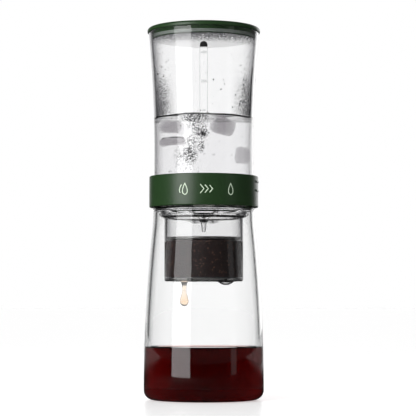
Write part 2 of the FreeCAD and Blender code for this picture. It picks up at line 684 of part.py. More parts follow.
PLUG_RADIUS = TANK_ARC.radius_at(PLUG_Z, TANK_WALL) - PLUG_GAP


def vent():
    """Return the cutter for the vent that lets air in as the tank empties."""
    return post(VENT_RADIUS, VENT_OFFSET, 90, PLUG_Z - 1, TANK_TOP + LID_THICKNESS + 1)


def lid_cap():
    """Return the disc that covers the tank's rim."""
    top = TANK_TOP + LID_THICKNESS
    outline = Outline(0, TANK_TOP).line(LID_RADIUS, TANK_TOP, LID_BOTTOM_ROUNDING)
    outline.line(LID_RADIUS, top, LID_TOP_ROUNDING).line(0, top)
    return outline.turned().cut(vent())


def lid_plug():
    """Return the shallow cup under the cap, grooved for the seal."""
    groove = PLUG_RADIUS - SEAL_GROOVE
    inner = PLUG_RADIUS - PLUG_WALL
    floor = PLUG_Z + PLUG_FLOOR
    outline = Outline(0, PLUG_Z).line(PLUG_RADIUS, PLUG_Z).line(PLUG_RADIUS, SEAL_Z)
    outline.line(groove, SEAL_Z).line(groove, SEAL_Z + SEAL_HEIGHT)
    outline.line(PLUG_RADIUS, SEAL_Z + SEAL_HEIGHT).line(PLUG_RADIUS, TANK_TOP)
    outline.line(inner, TANK_TOP).line(inner, floor).line(0, floor)
    return outline.turned().cut(vent())


def lid_seal():
    """Return the soft seal, whose two ribs reach the tank's wall."""
    inner = PLUG_RADIUS - SEAL_GROOVE + SLIP_FIT
    root = PLUG_RADIUS
    top = SEAL_Z + SEAL_HEIGHT
    gap = (SEAL_HEIGHT - 2 * SEAL_RIB) / 3
    outline = Outline(inner, SEAL_Z).line(root, SEAL_Z)
    for low in (SEAL_Z + gap, SEAL_Z + 2 * gap + SEAL_RIB):
        tip = TANK_ARC.radius_at(low, TANK_WALL) - REST_GAP
        outline.line(root, low).line(tip, low, SEAL_RIB / 3)
        outline.line(tip, low + SEAL_RIB, SEAL_RIB / 3).line(root, low + SEAL_RIB)
    return outline.line(root, top).line(inner, top).turned()


PIECES = (carafe, cup_body, cup_centring_ring, cup_filter_disc, filter_retaining_ring, spreader_disc,
          cup_cover, drip_funnel, drip_nozzle, dial_ring, dial_hub, dial_bearing_ring, tank_body,
          valve_body, valve_o_ring, valve_circlip, valve_seat, needle_carrier, needle, cam_pins,
          lid_cap, lid_plug, lid_seal)


def main():
    """Write each piece to its own STEP file."""
    os.makedirs("parts", exist_ok=True)
    for piece in PIECES:
        shape = piece()
        name = piece.__name__
        shape.exportStep("parts/" + name + ".step")
        print(name, "solids", len(shape.Solids), "valid", shape.isValid(), "volume", round(shape.Volume, 1))


main()
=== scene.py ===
"""The looks of a cold brew coffee maker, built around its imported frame.

A flared water tank with a dial stands on a cup of ground coffee, which hangs in the mouth of a glass
carafe. Sizes in the classes are millimetres, and every mesh is made in metres.
"""

import logging
import math
import random
from dataclasses import dataclass
from enum import Enum
from typing import Callable

import bpy
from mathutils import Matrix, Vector


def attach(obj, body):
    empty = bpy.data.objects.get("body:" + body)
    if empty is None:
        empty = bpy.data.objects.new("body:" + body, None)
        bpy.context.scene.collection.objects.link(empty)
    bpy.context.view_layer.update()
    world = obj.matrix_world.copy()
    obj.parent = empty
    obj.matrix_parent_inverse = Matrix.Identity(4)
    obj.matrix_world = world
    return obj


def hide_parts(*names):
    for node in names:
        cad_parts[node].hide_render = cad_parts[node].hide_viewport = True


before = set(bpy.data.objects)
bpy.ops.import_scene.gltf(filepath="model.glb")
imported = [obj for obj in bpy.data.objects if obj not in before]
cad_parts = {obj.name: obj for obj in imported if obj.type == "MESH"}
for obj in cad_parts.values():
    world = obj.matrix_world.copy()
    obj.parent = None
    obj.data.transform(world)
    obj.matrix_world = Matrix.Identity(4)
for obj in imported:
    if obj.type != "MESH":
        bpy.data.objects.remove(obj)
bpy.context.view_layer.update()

LOG = logging.getLogger("coffee_maker")
MM = 0.001
WELD = 0.002 * MM
Point = tuple[float, float]
Corner = tuple[float, ...]  # also any other short row of numbers
Colour = tuple[float, float, float]
Piece = bpy.types.Object
Material = bpy.types.Material
Socket = bpy.types.NodeSocket
WHITE: Colour = (1.0, 1.0, 1.0)


def srgb(red: int, green: int, blue: int) -> Colour:
    """Return a colour written in display values as linear light."""
    shares = [value / 255.0 for value in (red, green, blue)]
    return tuple(s / 12.92 if s <= 0.04045 else ((s + 0.055) / 1.055) ** 2.4 for s in shares)


class Body(Enum):
    """The frame's bodies that pieces made here ride on."""

    CARAFE = "carafe"
    CUP = "cup"
    COVER = "cover"
    TANK = "tank"
    DIAL = "dial"
    LID = "lid"


class Slot(Enum):
    """The record's material slots that pieces made here belong to."""

    CARAFE_GLASS = "carafe_glass"
    CLEAR = "clear_plastic"
    GREEN = "green_plastic"
    DARK_RUBBER = "dark_silicone"
    GREY_RUBBER = "grey_silicone"


class Trail:
    """A small helper that adds and links shader nodes."""

    def __init__(self, tree: bpy.types.NodeTree) -> None:
        """Empty the tree that the nodes go into."""
        self.tree = tree
        tree.nodes.clear()

    def add(self, kind: str, **settings: object) -> bpy.types.Node:
        """Add a node.

        Args:
            kind: the node's type, without its first word.
            settings: attributes, or inputs where the name starts with "in_".

        Returns:
            The new node.
        """
        node = self.tree.nodes.new("ShaderNode" + kind)
        for name, value in settings.items():
            if name.startswith("in_"):
                key = name[3:]
                self.put(node.inputs[int(key) if key.isdigit() else key.replace("_", " ")], value)
            else:
                setattr(node, name, value)
        return node

    def put(self, target: Socket, value: object) -> None:
        """Link an output to an input, or set the input's own value."""
        if isinstance(value, Socket):
            self.tree.links.new(value, target)
        else:
            target.default_value = (*value, 1.0) if target.type == "RGBA" else value

    def place(self) -> Socket:
        """Return the place on the piece, in its own coordinates."""
        return self.add("TexCoord").outputs["Object"]

    def axes(self, source: Socket) -> bpy.types.NodeOutputs:
        """Return the X, Y and Z of a vector."""
        return self.add("SeparateXYZ", in_Vector=source).outputs

    def noise(self, scale: float, detail: float, stretch: Corner | None = None) -> Socket:
        """Return a noise in the piece's own coordinates.

        Args:
            scale: waves per metre.
            detail: octaves.
            stretch: scale of each axis, if not even.

        Returns:
            Its value, which lies mostly from 0.3 to 0.7.
        """
        place = self.place()
        if stretch is not None:
            place = self.add("Mapping", in_Vector=place, in_Scale=stretch).outputs["Vector"]
        return self.add("TexNoise", in_Vector=place, in_Scale=scale, in_Detail=detail).outputs["Fac"]

    def cells(self, scale: float) -> tuple[Socket, Socket]:
        """Return a random share for each cell of a foam, and the distance from the cell's middle."""
        foam = self.add("TexVoronoi", in_Vector=self.place(), in_Scale=scale).outputs
        return self.add("SeparateColor", in_Color=foam["Color"]).outputs["Red"], foam["Distance"]

    def step(self, source: Socket, start: float, end: float, first: float = 0.0, last: float = 1.0,
             kind: str = "LINEAR") -> Socket:
        """Return a value that goes from first to last while the source goes from start to end."""
        return self.add("MapRange", interpolation_type=kind, in_Value=source, in_From_Min=start,
                        in_From_Max=end, in_To_Min=first, in_To_Max=last).outputs["Result"]

    def soft(self, source: Socket, start: float, end: float, first: float, last: float) -> Socket:
        """Return the same as step, with soft ends."""
        return self.step(source, start, end, first, last, "SMOOTHSTEP")

    def spread(self, noise: Socket, low: float, high: float) -> Socket:
        """Return a noise spread over a new range."""
        return self.step(noise, 0.3, 0.7, low, high)

    def math(self, operation: str, *values: Socket | float, clamp: bool = False) -> Socket:
        """Return what an operation makes of its values."""
        node = self.add("Math", operation=operation, use_clamp=clamp)
        for target, value in zip(node.inputs, values):
            self.put(target, value)
        return node.outputs["Value"]

    def mix(self, share: Socket, first: Colour, second: Colour) -> Socket:
        """Return two colours mixed by a share."""
        return self.add("Mix", data_type="RGBA", in_Factor=share, in_A=first, in_B=second).outputs["Result"]

    def blend(self, share: Socket, first: Socket, second: Socket) -> Socket:
        """Return two shaders mixed by a share."""
        return self.add("MixShader", in_Fac=share, in_1=first, in_2=second).outputs["Shader"]

    def veil(self, amount: Socket, colour: Colour) -> Socket:
        """Return a shader that is a dull colour by an amount, and else isn't there."""
        dull = self.add("BsdfDiffuse", in_Color=colour).outputs["BSDF"]
        return self.blend(amount, self.add("BsdfTransparent").outputs["BSDF"], dull)

    def bump(self, height: Socket, strength: float, distance: float) -> Socket:
        """Return a normal bent by a height."""
        return self.add("Bump", in_Strength=strength, in_Distance=distance, in_Height=height).outputs["Normal"]


@dataclass(frozen=True)
class Finish:
    """What all finishes share: a name, and a surface that each wires in its own way."""

    name: str

    def build(self) -> Material:
        """Return the material."""
        material = bpy.data.materials.new(self.name)
        material.use_nodes = True
        trail = Trail(material.node_tree)
        output = trail.add("OutputMaterial", in_Surface=self.surface(trail))
        dye = self.volume(trail)
        if dye is not None:
            trail.put(output.inputs["Volume"], dye)
        return material

    def surface(self, trail: Trail) -> Socket:
        """Return the shader of the surface."""
        raise NotImplementedError

    def volume(self, trail: Trail) -> Socket | None:
        """Return the shader of the inside, if the finish has one."""
        return None


@dataclass(frozen=True)
class Clear(Finish):
    """A clear finish: glass, clear plastic or a liquid, which lets lamps through, and can carry a painted edge
    shade.
    """

    ior: float = 1.5
    roughness: float = 0.0
    smudge: float = 0.012
    absorb: Colour = WHITE
    density: float = 0.0
    ripple: float = 0.0
    ripple_scale: float = 60.0
    # edge is the colour of a painted edge shade on faces that turn away from the view; its start and end set
    # where it begins and where it is full.
    edge: Colour | None = None
    edge_shade_start: float = 0.4
    edge_shade_end: float = 0.9
    specular: float = 0.5
    level: float = 0.9
    nearly_level: float = 0.97

    def painted_edge_shade(self, trail: Trail) -> Socket:
        """Return the share of painted edge shade: more where a face turns away from the view, with level faces
        spared.
        """
        normal = trail.add("NewGeometry").outputs["True Normal"]
        facing = trail.add("LayerWeight", in_Blend=0.5, in_Normal=normal).outputs["Facing"]
        upright = trail.math("ABSOLUTE", trail.axes(normal)["Z"])
        return trail.math("MULTIPLY", trail.step(facing, self.edge_shade_start, self.edge_shade_end),
                          trail.step(upright, self.nearly_level, self.level))

    def surface(self, trail: Trail) -> Socket:
        """Return the shader, which rays on their way to a lamp pass."""
        # Painted edge shade: the base colour goes from white to the edge colour where faces turn away from the
        # view.
        colour = WHITE if self.edge is None else trail.mix(self.painted_edge_shade(trail), WHITE, self.edge)
        smudge = trail.noise(self.ripple_scale, 2.0)
        shader = trail.add("BsdfPrincipled", in_Base_Color=colour, in_Transmission_Weight=1.0,
                           in_Specular_IOR_Level=self.specular, in_IOR=self.ior,
                           in_Roughness=trail.spread(smudge, self.roughness, self.roughness + self.smudge))
        if self.ripple:
            trail.put(shader.inputs["Normal"], trail.bump(smudge, self.ripple, MM))
        passing = trail.add("BsdfTransparent", in_Color=WHITE).outputs["BSDF"]
        return trail.blend(trail.add("LightPath").outputs["Is Shadow Ray"], shader.outputs["BSDF"], passing)

    def volume(self, trail: Trail) -> Socket | None:
        """Return the dye that colours a long way through, if there is one."""
        if not self.density:
            return None
        return trail.add("VolumeAbsorption", in_Color=self.absorb, in_Density=self.density).outputs["Volume"]


@dataclass(frozen=True)
class Sheer(Clear):
    """A thin clear finish that is nearly invisible, save for a painted edge shade where its faces turn away
    from the view.
    """

    faint: float = 0.01
    full: float = 0.92

    def surface(self, trail: Trail) -> Socket:
        """Return the shader."""
        # Painted edge shade: the surface is opaque in the edge colour where it turns away from the view, and
        # nearly clear elsewhere.
        cover = trail.step(self.painted_edge_shade(trail), 0.0, 1.0, self.faint, self.full)
        return trail.add("BsdfPrincipled", in_Base_Color=self.edge, in_Roughness=0.1,
                         in_Alpha=cover).outputs["BSDF"]


@dataclass(frozen=True)
class Solid(Finish):
    """An opaque finish with a fine grain in its colour, gloss and surface."""

    colour: Colour
    deep: Colour
    roughness: float = 0.4
    spread: float = 0.08
    grain: float = 900.0
    relief: float = 0.1
    metallic: float = 0.0
    through: float = 0.0
    stretch: Corner | None = None

    def surface(self, trail: Trail) -> Socket:
        """Return the shader."""
        grain = trail.noise(self.grain, 4.0, self.stretch)
        low = max(self.roughness - self.spread, 0.02)
        shader = trail.add(
            "BsdfPrincipled", in_Base_Color=trail.mix(trail.spread(grain, 0.0, 1.0), self.deep, self.colour),
            in_Roughness=trail.spread(grain, low, self.roughness + self.spread),
            in_Normal=trail.bump(grain, self.relief, 0.1 * MM), in_Metallic=self.metallic,
            in_Transmission_Weight=self.through)
        return shader.outputs["BSDF"]


@dataclass(frozen=True)
class Grounds(Finish):
    """Wet ground coffee: dark brown grit with paler specks."""

    name: str = "ground_coffee"
    scale: float = 900.0

    def surface(self, trail: Trail) -> Socket:
        """Return the shader."""
        share, distance = trail.cells(self.scale)
        tone = trail.add("ValToRGB", in_Fac=share)
        stops = tone.color_ramp.elements
        stops[1].position = 0.9
        stops.new(0.985)
        for stop, colour in zip(stops, (srgb(24, 11, 10), srgb(40, 20, 17), srgb(92, 64, 54))):
            stop.color = (*colour, 1.0)
        return trail.add("BsdfPrincipled", in_Base_Color=tone.outputs["Color"], in_Roughness=0.45,
                         in_Normal=trail.bump(distance, 0.7, 0.5 * MM)).outputs["BSDF"]


@dataclass(frozen=True)
class MistAndFlankShade(Finish):
    """Fine condensation: grey beads in a band under the lid, and grey beads on the flanks above the water that
    also act as a painted shade on the flanks.

    Its heights and widths are in metres.
    """

    name: str = "mist"
    colour: Colour = srgb(76, 75, 79)
    cover: float = 0.78
    scale: float = 900.0
    low: float = 0.222
    high: float = 0.281
    band: float = 0.273
    flank_shade_top: float = 0.256
    flank_shade: Point = (0.022, 0.038)
    front: Point = (-0.006, -0.022)

    def surface(self, trail: Trail) -> Socket:
        """Return the shader."""
        place = trail.axes(trail.place())
        # Painted flank shade: the grey beads thicken towards the sides and down to the water, standing in for
        # the shade on the tank's flanks.
        aside = trail.step(trail.math("ABSOLUTE", place["X"]), *self.flank_shade)
        flank_shade = trail.math("MULTIPLY", aside, trail.step(place["Z"], self.flank_shade_top, self.low))
        top = trail.math("MULTIPLY", trail.step(place["Z"], self.band, self.high),
                         trail.step(place["Y"], *self.front))
        beads = trail.spread(trail.noise(self.scale, 5.0), 0.0, self.cover)
        return trail.veil(trail.math("MULTIPLY", trail.math("MAXIMUM", flank_shade, top), beads), self.colour)


@dataclass(frozen=True)
class Speckle(Finish):
    """A grain of water on the front of the tank, thick inside soft-edged ovals.

    An oval is x, z, half width and half height in millimetres, and its strength.
    """

    ovals: tuple[Corner, ...]
    colour: Colour
    scale: float
    soft: float = 0.45
    grain: Point = (0.5, 0.75)
    front: Point = (-0.004, -0.012)

    def surface(self, trail: Trail) -> Socket:
        """Return the shader."""
        place = trail.place()
        cloud: Socket | float = 0.0
        for x, z, width, height, strength in self.ovals:
            shifted = trail.add("VectorMath", operation="SUBTRACT", in_0=place, in_1=(x * MM, 0.0, z * MM))
            scaled = trail.add("VectorMath", operation="MULTIPLY", in_0=shifted.outputs["Vector"],
                               in_1=(1 / MM / width, 0.0, 1 / MM / height))
            reach = trail.add("VectorMath", operation="LENGTH", in_0=scaled.outputs["Vector"])
            oval = trail.step(reach.outputs["Value"], self.soft, 1.0, strength, 0.0)
            cloud = trail.math("MAXIMUM", oval, cloud)
        grain = trail.step(trail.cells(self.scale)[0], *self.grain)
        front = trail.step(trail.axes(place)["Y"], *self.front)
        return trail.veil(trail.math("MULTIPLY", trail.math("MULTIPLY", cloud, grain), front), self.colour)


@dataclass(frozen=True)
class Film(Finish):
    """A wet, mirror-like film of water under the lid, beaded with grey mist along its front."""

    name: str = "film_of_water"
    colour: Colour = srgb(70, 71, 74)
    front: float = -0.036
    middle: float = 0.004

    def surface(self, trail: Trail) -> Socket:
        """Return the shader."""
        fade = trail.step(trail.axes(trail.place())["Y"], self.front, self.middle, 1.5, 0.0)
        beads = trail.spread(trail.noise(620.0, 4.0, (1.0, 0.2, 1.0)), -0.2, 1.7)
        tone = trail.mix(trail.math("MULTIPLY", fade, beads, clamp=True), WHITE, self.colour)
        return trail.add("BsdfPrincipled", in_Base_Color=tone, in_Metallic=0.85,
                         in_Roughness=0.12).outputs["BSDF"]


@dataclass(frozen=True)
class Floor(Finish):
    """A pale floor that keeps the object's shadow, and is dim where the object mirrors its far part."""

    name: str = "pale_floor"
    lift: float = 0.43
    through_lift: float = 1.35

    def surface(self, trail: Trail) -> Socket:
        """Return the shader."""
        path = trail.add("LightPath").outputs
        pale = trail.add("BsdfPrincipled", in_Base_Color=(0.86, 0.86, 0.86), in_Roughness=0.3)
        seen = trail.math("MULTIPLY_ADD", path["Is Transmission Ray"], self.through_lift,
                          path["Is Camera Ray"])
        shine = trail.add("Emission", in_Strength=trail.math("MULTIPLY", seen, self.lift))
        both = trail.add("AddShader", in_0=pale.outputs["BSDF"], in_1=shine.outputs["Emission"])
        dim = trail.add("BsdfDiffuse", in_Color=(0.1, 0.1, 0.1))
        place = trail.axes(trail.add("NewGeometry").outputs["Position"])
        share = trail.math("MULTIPLY", trail.soft(path["Glossy Depth"], 0.4, 0.6, 0.0, 1.0),
                           trail.soft(place["Y"], 0.3, 1.2, 1.0, 0.0))
        return trail.blend(share, both.outputs["Shader"], dim.outputs["BSDF"])


class Finishes:
    """All the finishes of the coffee maker, each built once."""

    def __init__(self) -> None:
        """Build the materials."""
        wall = {"absorb": srgb(206, 206, 210), "density": 40.0, "ripple": 0.02, "ripple_scale": 25.0}
        # Each edge colour below is a painted edge shade on glass, clear plastic, drops or beads.
        self.glass = Clear("carafe_glass", 1.47, absorb=srgb(214, 216, 216), density=34.0, ripple=0.02,
                           ripple_scale=18.0, edge=srgb(168, 168, 170), edge_shade_start=0.6).build()
        self.plastic = Clear("clear_plastic", edge=srgb(130, 129, 134), edge_shade_start=0.35, **wall).build()
        self.tank = Clear("tank_plastic", edge=srgb(150, 148, 154), specular=0.05, **wall).build()
        self.thin = self.sheer("thin_clear_plastic", srgb(4, 4, 5), 0.64, 0.86)
        self.spout = self.sheer("spout_plastic", srgb(4, 4, 5), 0.1, 0.6)
        self.dish = self.sheer("cover_plastic", srgb(110, 110, 112), 0.5, 0.95)
        self.hub = self.sheer("hub_plastic", srgb(150, 150, 152), 0.7, 1.0)
        self.water = Clear("water", 1.33, absorb=srgb(234, 233, 236), density=6.0, ripple=0.05,
                           ripple_scale=90.0).build()
        self.ice = Clear("ice", 1.015, absorb=srgb(150, 143, 150), density=95.0, roughness=0.2).build()
        self.drops = Clear("water_drops", 1.33, edge=srgb(10, 10, 12), edge_shade_start=0.16, edge_shade_end=0.6).build()
        self.coffee = Clear("brewed_coffee", 1.34, absorb=(0.824, 0.132, 0.008), density=250.0).build()
        self.coffee_drop = Clear("coffee_drop", 1.34, absorb=(0.93, 0.72, 0.45), density=200.0,
                                 edge=srgb(150, 104, 74), edge_shade_start=0.3, edge_shade_end=0.8).build()
        self.green = Solid("green_plastic", srgb(38, 66, 33), srgb(30, 54, 26), 0.36, 0.05, 1400.0,
                           0.12).build()
        self.rubber = Solid("dark_silicone", srgb(44, 46, 46), srgb(30, 31, 32), 0.5, 0.1, 700.0).build()
        self.seal = Solid("grey_silicone", srgb(150, 158, 152), srgb(128, 136, 130), 0.35, 0.08, 300.0,
                          through=0.25).build()
        self.silicone = self.sheer("clear_silicone", srgb(50, 50, 52), 0.6, 0.95)
        self.beads = self.sheer("beads_of_water", srgb(24, 24, 26), 0.15, 0.6)
        self.steel = Solid("steel", (0.62, 0.61, 0.60), (0.45, 0.45, 0.44), 0.28, 0.1, 120.0, 0.2,
                           metallic=1.0, stretch=(1.0, 1.0, 40.0)).build()
        self.nylon = Solid("white_nylon", srgb(226, 226, 220), srgb(206, 206, 200), 0.4, 0.08, 500.0).build()
        self.mint = self.ink_of("mint_print", srgb(222, 238, 214), srgb(206, 226, 198))
        self.ink = self.ink_of("black_print", srgb(14, 14, 15), srgb(9, 9, 10))
        self.faint_ink = self.ink_of("grey_print", srgb(150, 152, 154), srgb(132, 134, 136))
        self.grounds = Grounds().build()

    def sheer(self, name: str, edge: Colour, start: float, end: float) -> Material:
        """Return a sheer finish whose painted edge shade sets in between two amounts."""
        return Sheer(name, edge=edge, edge_shade_start=start, edge_shade_end=end).build()

    def ink_of(self, name: str, colour: Colour, deep: Colour) -> Material:
        """Return a dull, fine-grained ink."""
        return Solid(name, colour, deep, 0.5, 0.05, 2500.0).build()


def deselect() -> None:
    """Leave edit mode and deselect everything."""
    if bpy.context.object is not None and bpy.context.object.mode != "OBJECT":
        bpy.ops.object.mode_set(mode="OBJECT")
    bpy.ops.object.select_all(action="DESELECT")


def pick(piece: Piece) -> None:
    """Make one object the only selected and active one."""
    deselect()
    piece.select_set(True)
    bpy.context.view_layer.objects.active = piece


def open_mesh() -> None:
    """Start to edit the active mesh, with all of it selected."""
    bpy.ops.object.mode_set(mode="EDIT")
    bpy.ops.mesh.select_all(action="SELECT")


def close_mesh() -> None:
    """Turn all faces outwards and stop editing."""
    bpy.ops.mesh.select_all(action="SELECT")
    bpy.ops.mesh.normals_make_consistent(inside=False)
    bpy.ops.object.mode_set(mode="OBJECT")


def settle(piece: Piece, angle: float = 32.0) -> Piece:
    """Apply the object's place to its mesh and shade it smooth up to an angle."""
    pick(piece)
    bpy.ops.object.transform_apply(location=True, rotation=True, scale=True)
    bpy.ops.object.shade_smooth_by_angle(angle=math.radians(angle))
    return piece


def stand(name: str, data: bpy.types.ID) -> Piece:
    """Return a new object in the scene, made of a mesh, a lamp or a camera."""
    thing = bpy.data.objects.new(name, data)
    bpy.context.scene.collection.objects.link(thing)
    return thing


def dress(piece: Piece, material: Material, body: Body, slot: Slot, *nodes: str) -> Piece:
    """Give a piece its finish, its body and its place in the frame.

    Args:
        piece: the finished mesh.
        material: its finish.
        body: the body that it moves with.
        slot: the record's material slot that it belongs to; not used.
        nodes: the frame's nodes that it stands for.

    Returns:
        The piece.
    """
    piece.data.materials.clear()
    piece.data.materials.append(material)
    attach(piece, body.value)
    if nodes:
        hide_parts(*nodes)
    LOG.info("%s: %d faces, rides on %s", piece.name, len(piece.data.polygons), body.value)
    return piece


@dataclass
class WallArc:
    """An arc of wall that stands upright at its start and leans to its end."""

    start: Point
    end: Point

    def __post_init__(self) -> None:
        """Work out the arc's centre and radius."""
        rise = self.end[1] - self.start[1]
        lean = self.end[0] - self.start[0]
        self.side = 1 if lean < 0 else -1
        self.radius = (rise ** 2 + lean ** 2) / (2 * abs(lean))
        self.centre = self.start[0] - self.side * self.radius
        self.angle = math.asin(rise / self.radius)

    def at(self, z: float, inset: float = 0.0) -> float:
        """Return the wall's radius at a height, moved in by an inset."""
        reach = self.radius - self.side * inset
        return self.centre + self.side * math.sqrt(reach ** 2 - (z - self.start[1]) ** 2)

    def points(self, low: float, high: float, inset: float = 0.0, count: int = 14) -> list[Point]:
        """Return evenly spaced points of the wall from one height to another."""
        heights = [low + (high - low) * i / count for i in range(count + 1)]
        return [(self.at(z, inset), z) for z in heights]


def rounded(corners: list[Corner], closed: bool) -> list[Point]:
    """Return the points of an outline, with each rounded corner as a fan of short steps.

    Args:
        corners: radius, height and the rounding, where there is one.
        closed: whether the outline is a loop.

    Returns:
        Its points.
    """
    count = len(corners)
    result: list[Point] = []
    for i, corner in enumerate(corners):
        r, z, rounding = (*corner, 0.0)[:3]
        if rounding == 0.0 or not (closed or 0 < i < count - 1):
            result.append((r, z))
            continue
        here = Vector((r, z))
        back = (Vector(corners[i - 1][:2]) - here).normalized()
        onward = (Vector(corners[(i + 1) % count][:2]) - here).normalized()
        half = back.angle(onward) / 2
        middle = here + (back + onward).normalized() * (rounding / math.sin(half))
        first = here + back * (rounding / math.tan(half)) - middle
        last = here + onward * (rounding / math.tan(half)) - middle
        turn = first.angle_signed(last)
        steps = max(3, int(abs(turn) / math.radians(15)))
        for step in range(steps + 1):
            angle = -turn * step / steps
            result.append((middle.x + first.x * math.cos(angle) - first.y * math.sin(angle),
                           middle.y + first.x * math.sin(angle) + first.y * math.cos(angle)))
    return result


def lathe(name: str, corners: list[Corner], closed: bool = False, steps: int = 128, angle: float = 360.0,
          start: float = 0.0) -> Piece:
    """Draw an outline by extruding a vertex, then spin it about the vertical axis.

    Args:
        name: the piece's name.
        corners: its outline in millimetres, from axis to axis, or a closed loop.
        closed: whether the outline is a loop clear of the axis.
        steps: faces round the axis.
        angle: degrees to spin.
        start: degrees at which the spin starts.

    Returns:
        The finished piece.
    """
    points = rounded(corners, closed)
    deselect()
    bpy.ops.mesh.primitive_plane_add(size=MM, location=(0, 0, 0))
    piece = bpy.context.object
    piece.name = name
    bpy.ops.object.mode_set(mode="EDIT")
    bpy.ops.mesh.merge(type="CENTER")
    bpy.ops.transform.translate(value=(points[0][0] * MM, 0, points[0][1] * MM))
    trail = points + points[:1] if closed else points
    for before, after in zip(trail, trail[1:]):
        move = ((after[0] - before[0]) * MM, 0, (after[1] - before[1]) * MM)
        bpy.ops.mesh.extrude_vertices_move(TRANSFORM_OT_translate={"value": move})
    bpy.ops.mesh.select_all(action="SELECT")
    bpy.ops.mesh.remove_doubles(threshold=WELD)
    if start:
        bpy.ops.transform.rotate(value=-math.radians(start), orient_axis="Z", center_override=(0, 0, 0))
    bpy.ops.mesh.spin(steps=steps, angle=math.radians(angle), center=(0, 0, 0), axis=(0, 0, 1))
    bpy.ops.mesh.select_all(action="SELECT")
    bpy.ops.mesh.remove_doubles(threshold=WELD)
    if angle < 360.0:
        bpy.ops.mesh.select_all(action="DESELECT")
        bpy.ops.mesh.select_non_manifold(extend=False, use_wire=False, use_multi_face=False,
                                         use_non_contiguous=False, use_verts=False)
        bpy.ops.mesh.edge_face_add()
    close_mesh()
    return settle(piece)


def shift(piece: Piece, place: Point) -> Piece:
    """Move a piece level to a place in millimetres."""
    piece.location = (place[0] * MM, place[1] * MM, 0)
    return settle(piece)


def bar(name: str, radius: float, low: float, high: float, place: Point, bevel: float = 0.3,
        sides: int = 32) -> Piece:
    """Return an upright round bar with bevelled ends."""
    corners = [(0, low), (radius, low, bevel), (radius, high, bevel), (0, high)]
    return shift(lathe(name, corners, steps=sides), place)


def join(name: str, pieces: list[Piece]) -> Piece:
    """Return several meshes as one piece."""
    pick(pieces[0])
    for piece in pieces[1:]:
        piece.select_set(True)
    bpy.ops.object.join()
    pieces[0].name = name
    return pieces[0]


def carve(piece: Piece, cutter: Piece) -> Piece:
    """Cut one mesh out of another and delete the cutter."""
    pick(piece)
    cut = piece.modifiers.new("cut", "BOOLEAN")
    cut.operation = "DIFFERENCE"
    cut.solver = "EXACT"
    cut.object = cutter
    bpy.ops.object.modifier_apply(modifier=cut.name)
    bpy.data.objects.remove(cutter)
    return settle(piece)


def flat(name: str, verts: list[Point], faces: list[tuple[int, ...]]) -> Piece:
    """Return a flat mesh in the X-Z plane, from points in millimetres."""
    mesh = bpy.data.meshes.new(name)
    mesh.from_pydata([(x * MM, 0.0, z * MM) for x, z in verts], [], faces)
    return stand(name, mesh)


def ribbon(name: str, paths: list[tuple[list[Point], bool]], width: float) -> Piece:
    """Return flat strokes in the X-Z plane, one for each path.

    Args:
        name: the piece's name.
        paths: each stroke's points in millimetres, and whether it closes.
        width: the stroke's width.

    Returns:
        A mesh that still lies flat at Y = 0.
    """
    verts: list[Point] = []
    faces: list[tuple[int, ...]] = []
    for path, closed in paths:
        count = len(path)
        first = len(verts)
        for i, point in enumerate(path):
            here = Vector(point)
            before = Vector(path[i - 1]) if closed or i > 0 else here
            after = Vector(path[(i + 1) % count]) if closed or i < count - 1 else here
            leave = (after - here).normalized() if after != here else (here - before).normalized()
            arrive = (here - before).normalized() if before != here else leave
            mitre = (leave + arrive).normalized()
            side = Vector((-mitre.y, mitre.x)) * (width / 2 / max(mitre.dot(leave), 0.5))
            verts.extend(tuple(edge) for edge in (here + side, here - side))
        for i in range(count if closed else count - 1):
            a = first + 2 * i
            b = first + 2 * ((i + 1) % count)
            faces.append((a, a + 1, b + 1, b))
    return flat(name, verts, faces)


def wrap(piece: Piece, radius: Callable[[float], float], thickness: float = 0.04) -> Piece:
    """Roll a flat print round the front of a turned wall and give it a thickness.

    Args:
        piece: a mesh in the X-Z plane, in metres.
        radius: gives the wall's radius in millimetres at a height in millimetres.
        thickness: how far the print stands out, in millimetres.

    Returns:
        The print on its wall.
    """
    pick(piece)
    open_mesh()
    bpy.ops.mesh.quads_convert_to_tris()
    bpy.ops.mesh.remove_doubles(threshold=WELD)
    bpy.ops.object.mode_set(mode="OBJECT")
    for vertex in piece.data.vertices:
        reach = (radius(vertex.co.z / MM) + thickness / 2) * MM
        turn = vertex.co.x / reach
        vertex.co = Vector((reach * math.sin(turn), -reach * math.cos(turn), vertex.co.z))
    shell = piece.modifiers.new("shell", "SOLIDIFY")
    shell.thickness = thickness * MM
    shell.offset = 0.0
    bpy.ops.object.modifier_apply(modifier=shell.name)
    bpy.ops.object.mode_set(mode="EDIT")
    close_mesh()
    return settle(piece, 60.0)


def rough_up(piece: Piece, size: float, strength: float) -> None:
    """Divide a mesh once, and push its surface in and out by a cloudy noise.

    Args:
        piece: the mesh.
        size: the noise's scale in millimetres.
        strength: how far it pushes, in millimetres.
    """
    pick(piece)
    divide = piece.modifiers.new("divide", "SUBSURF")
    divide.levels = divide.render_levels = 1
    bpy.ops.object.modifier_apply(modifier=divide.name)
    clouds = bpy.data.textures.new(piece.name + "_clouds", "CLOUDS")
    clouds.noise_scale = size * MM
    push = piece.modifiers.new("push", "DISPLACE")
    push.texture = clouds
    push.texture_coords = "LOCAL"
    push.strength = strength * MM
    bpy.ops.object.modifier_apply(modifier=push.name)


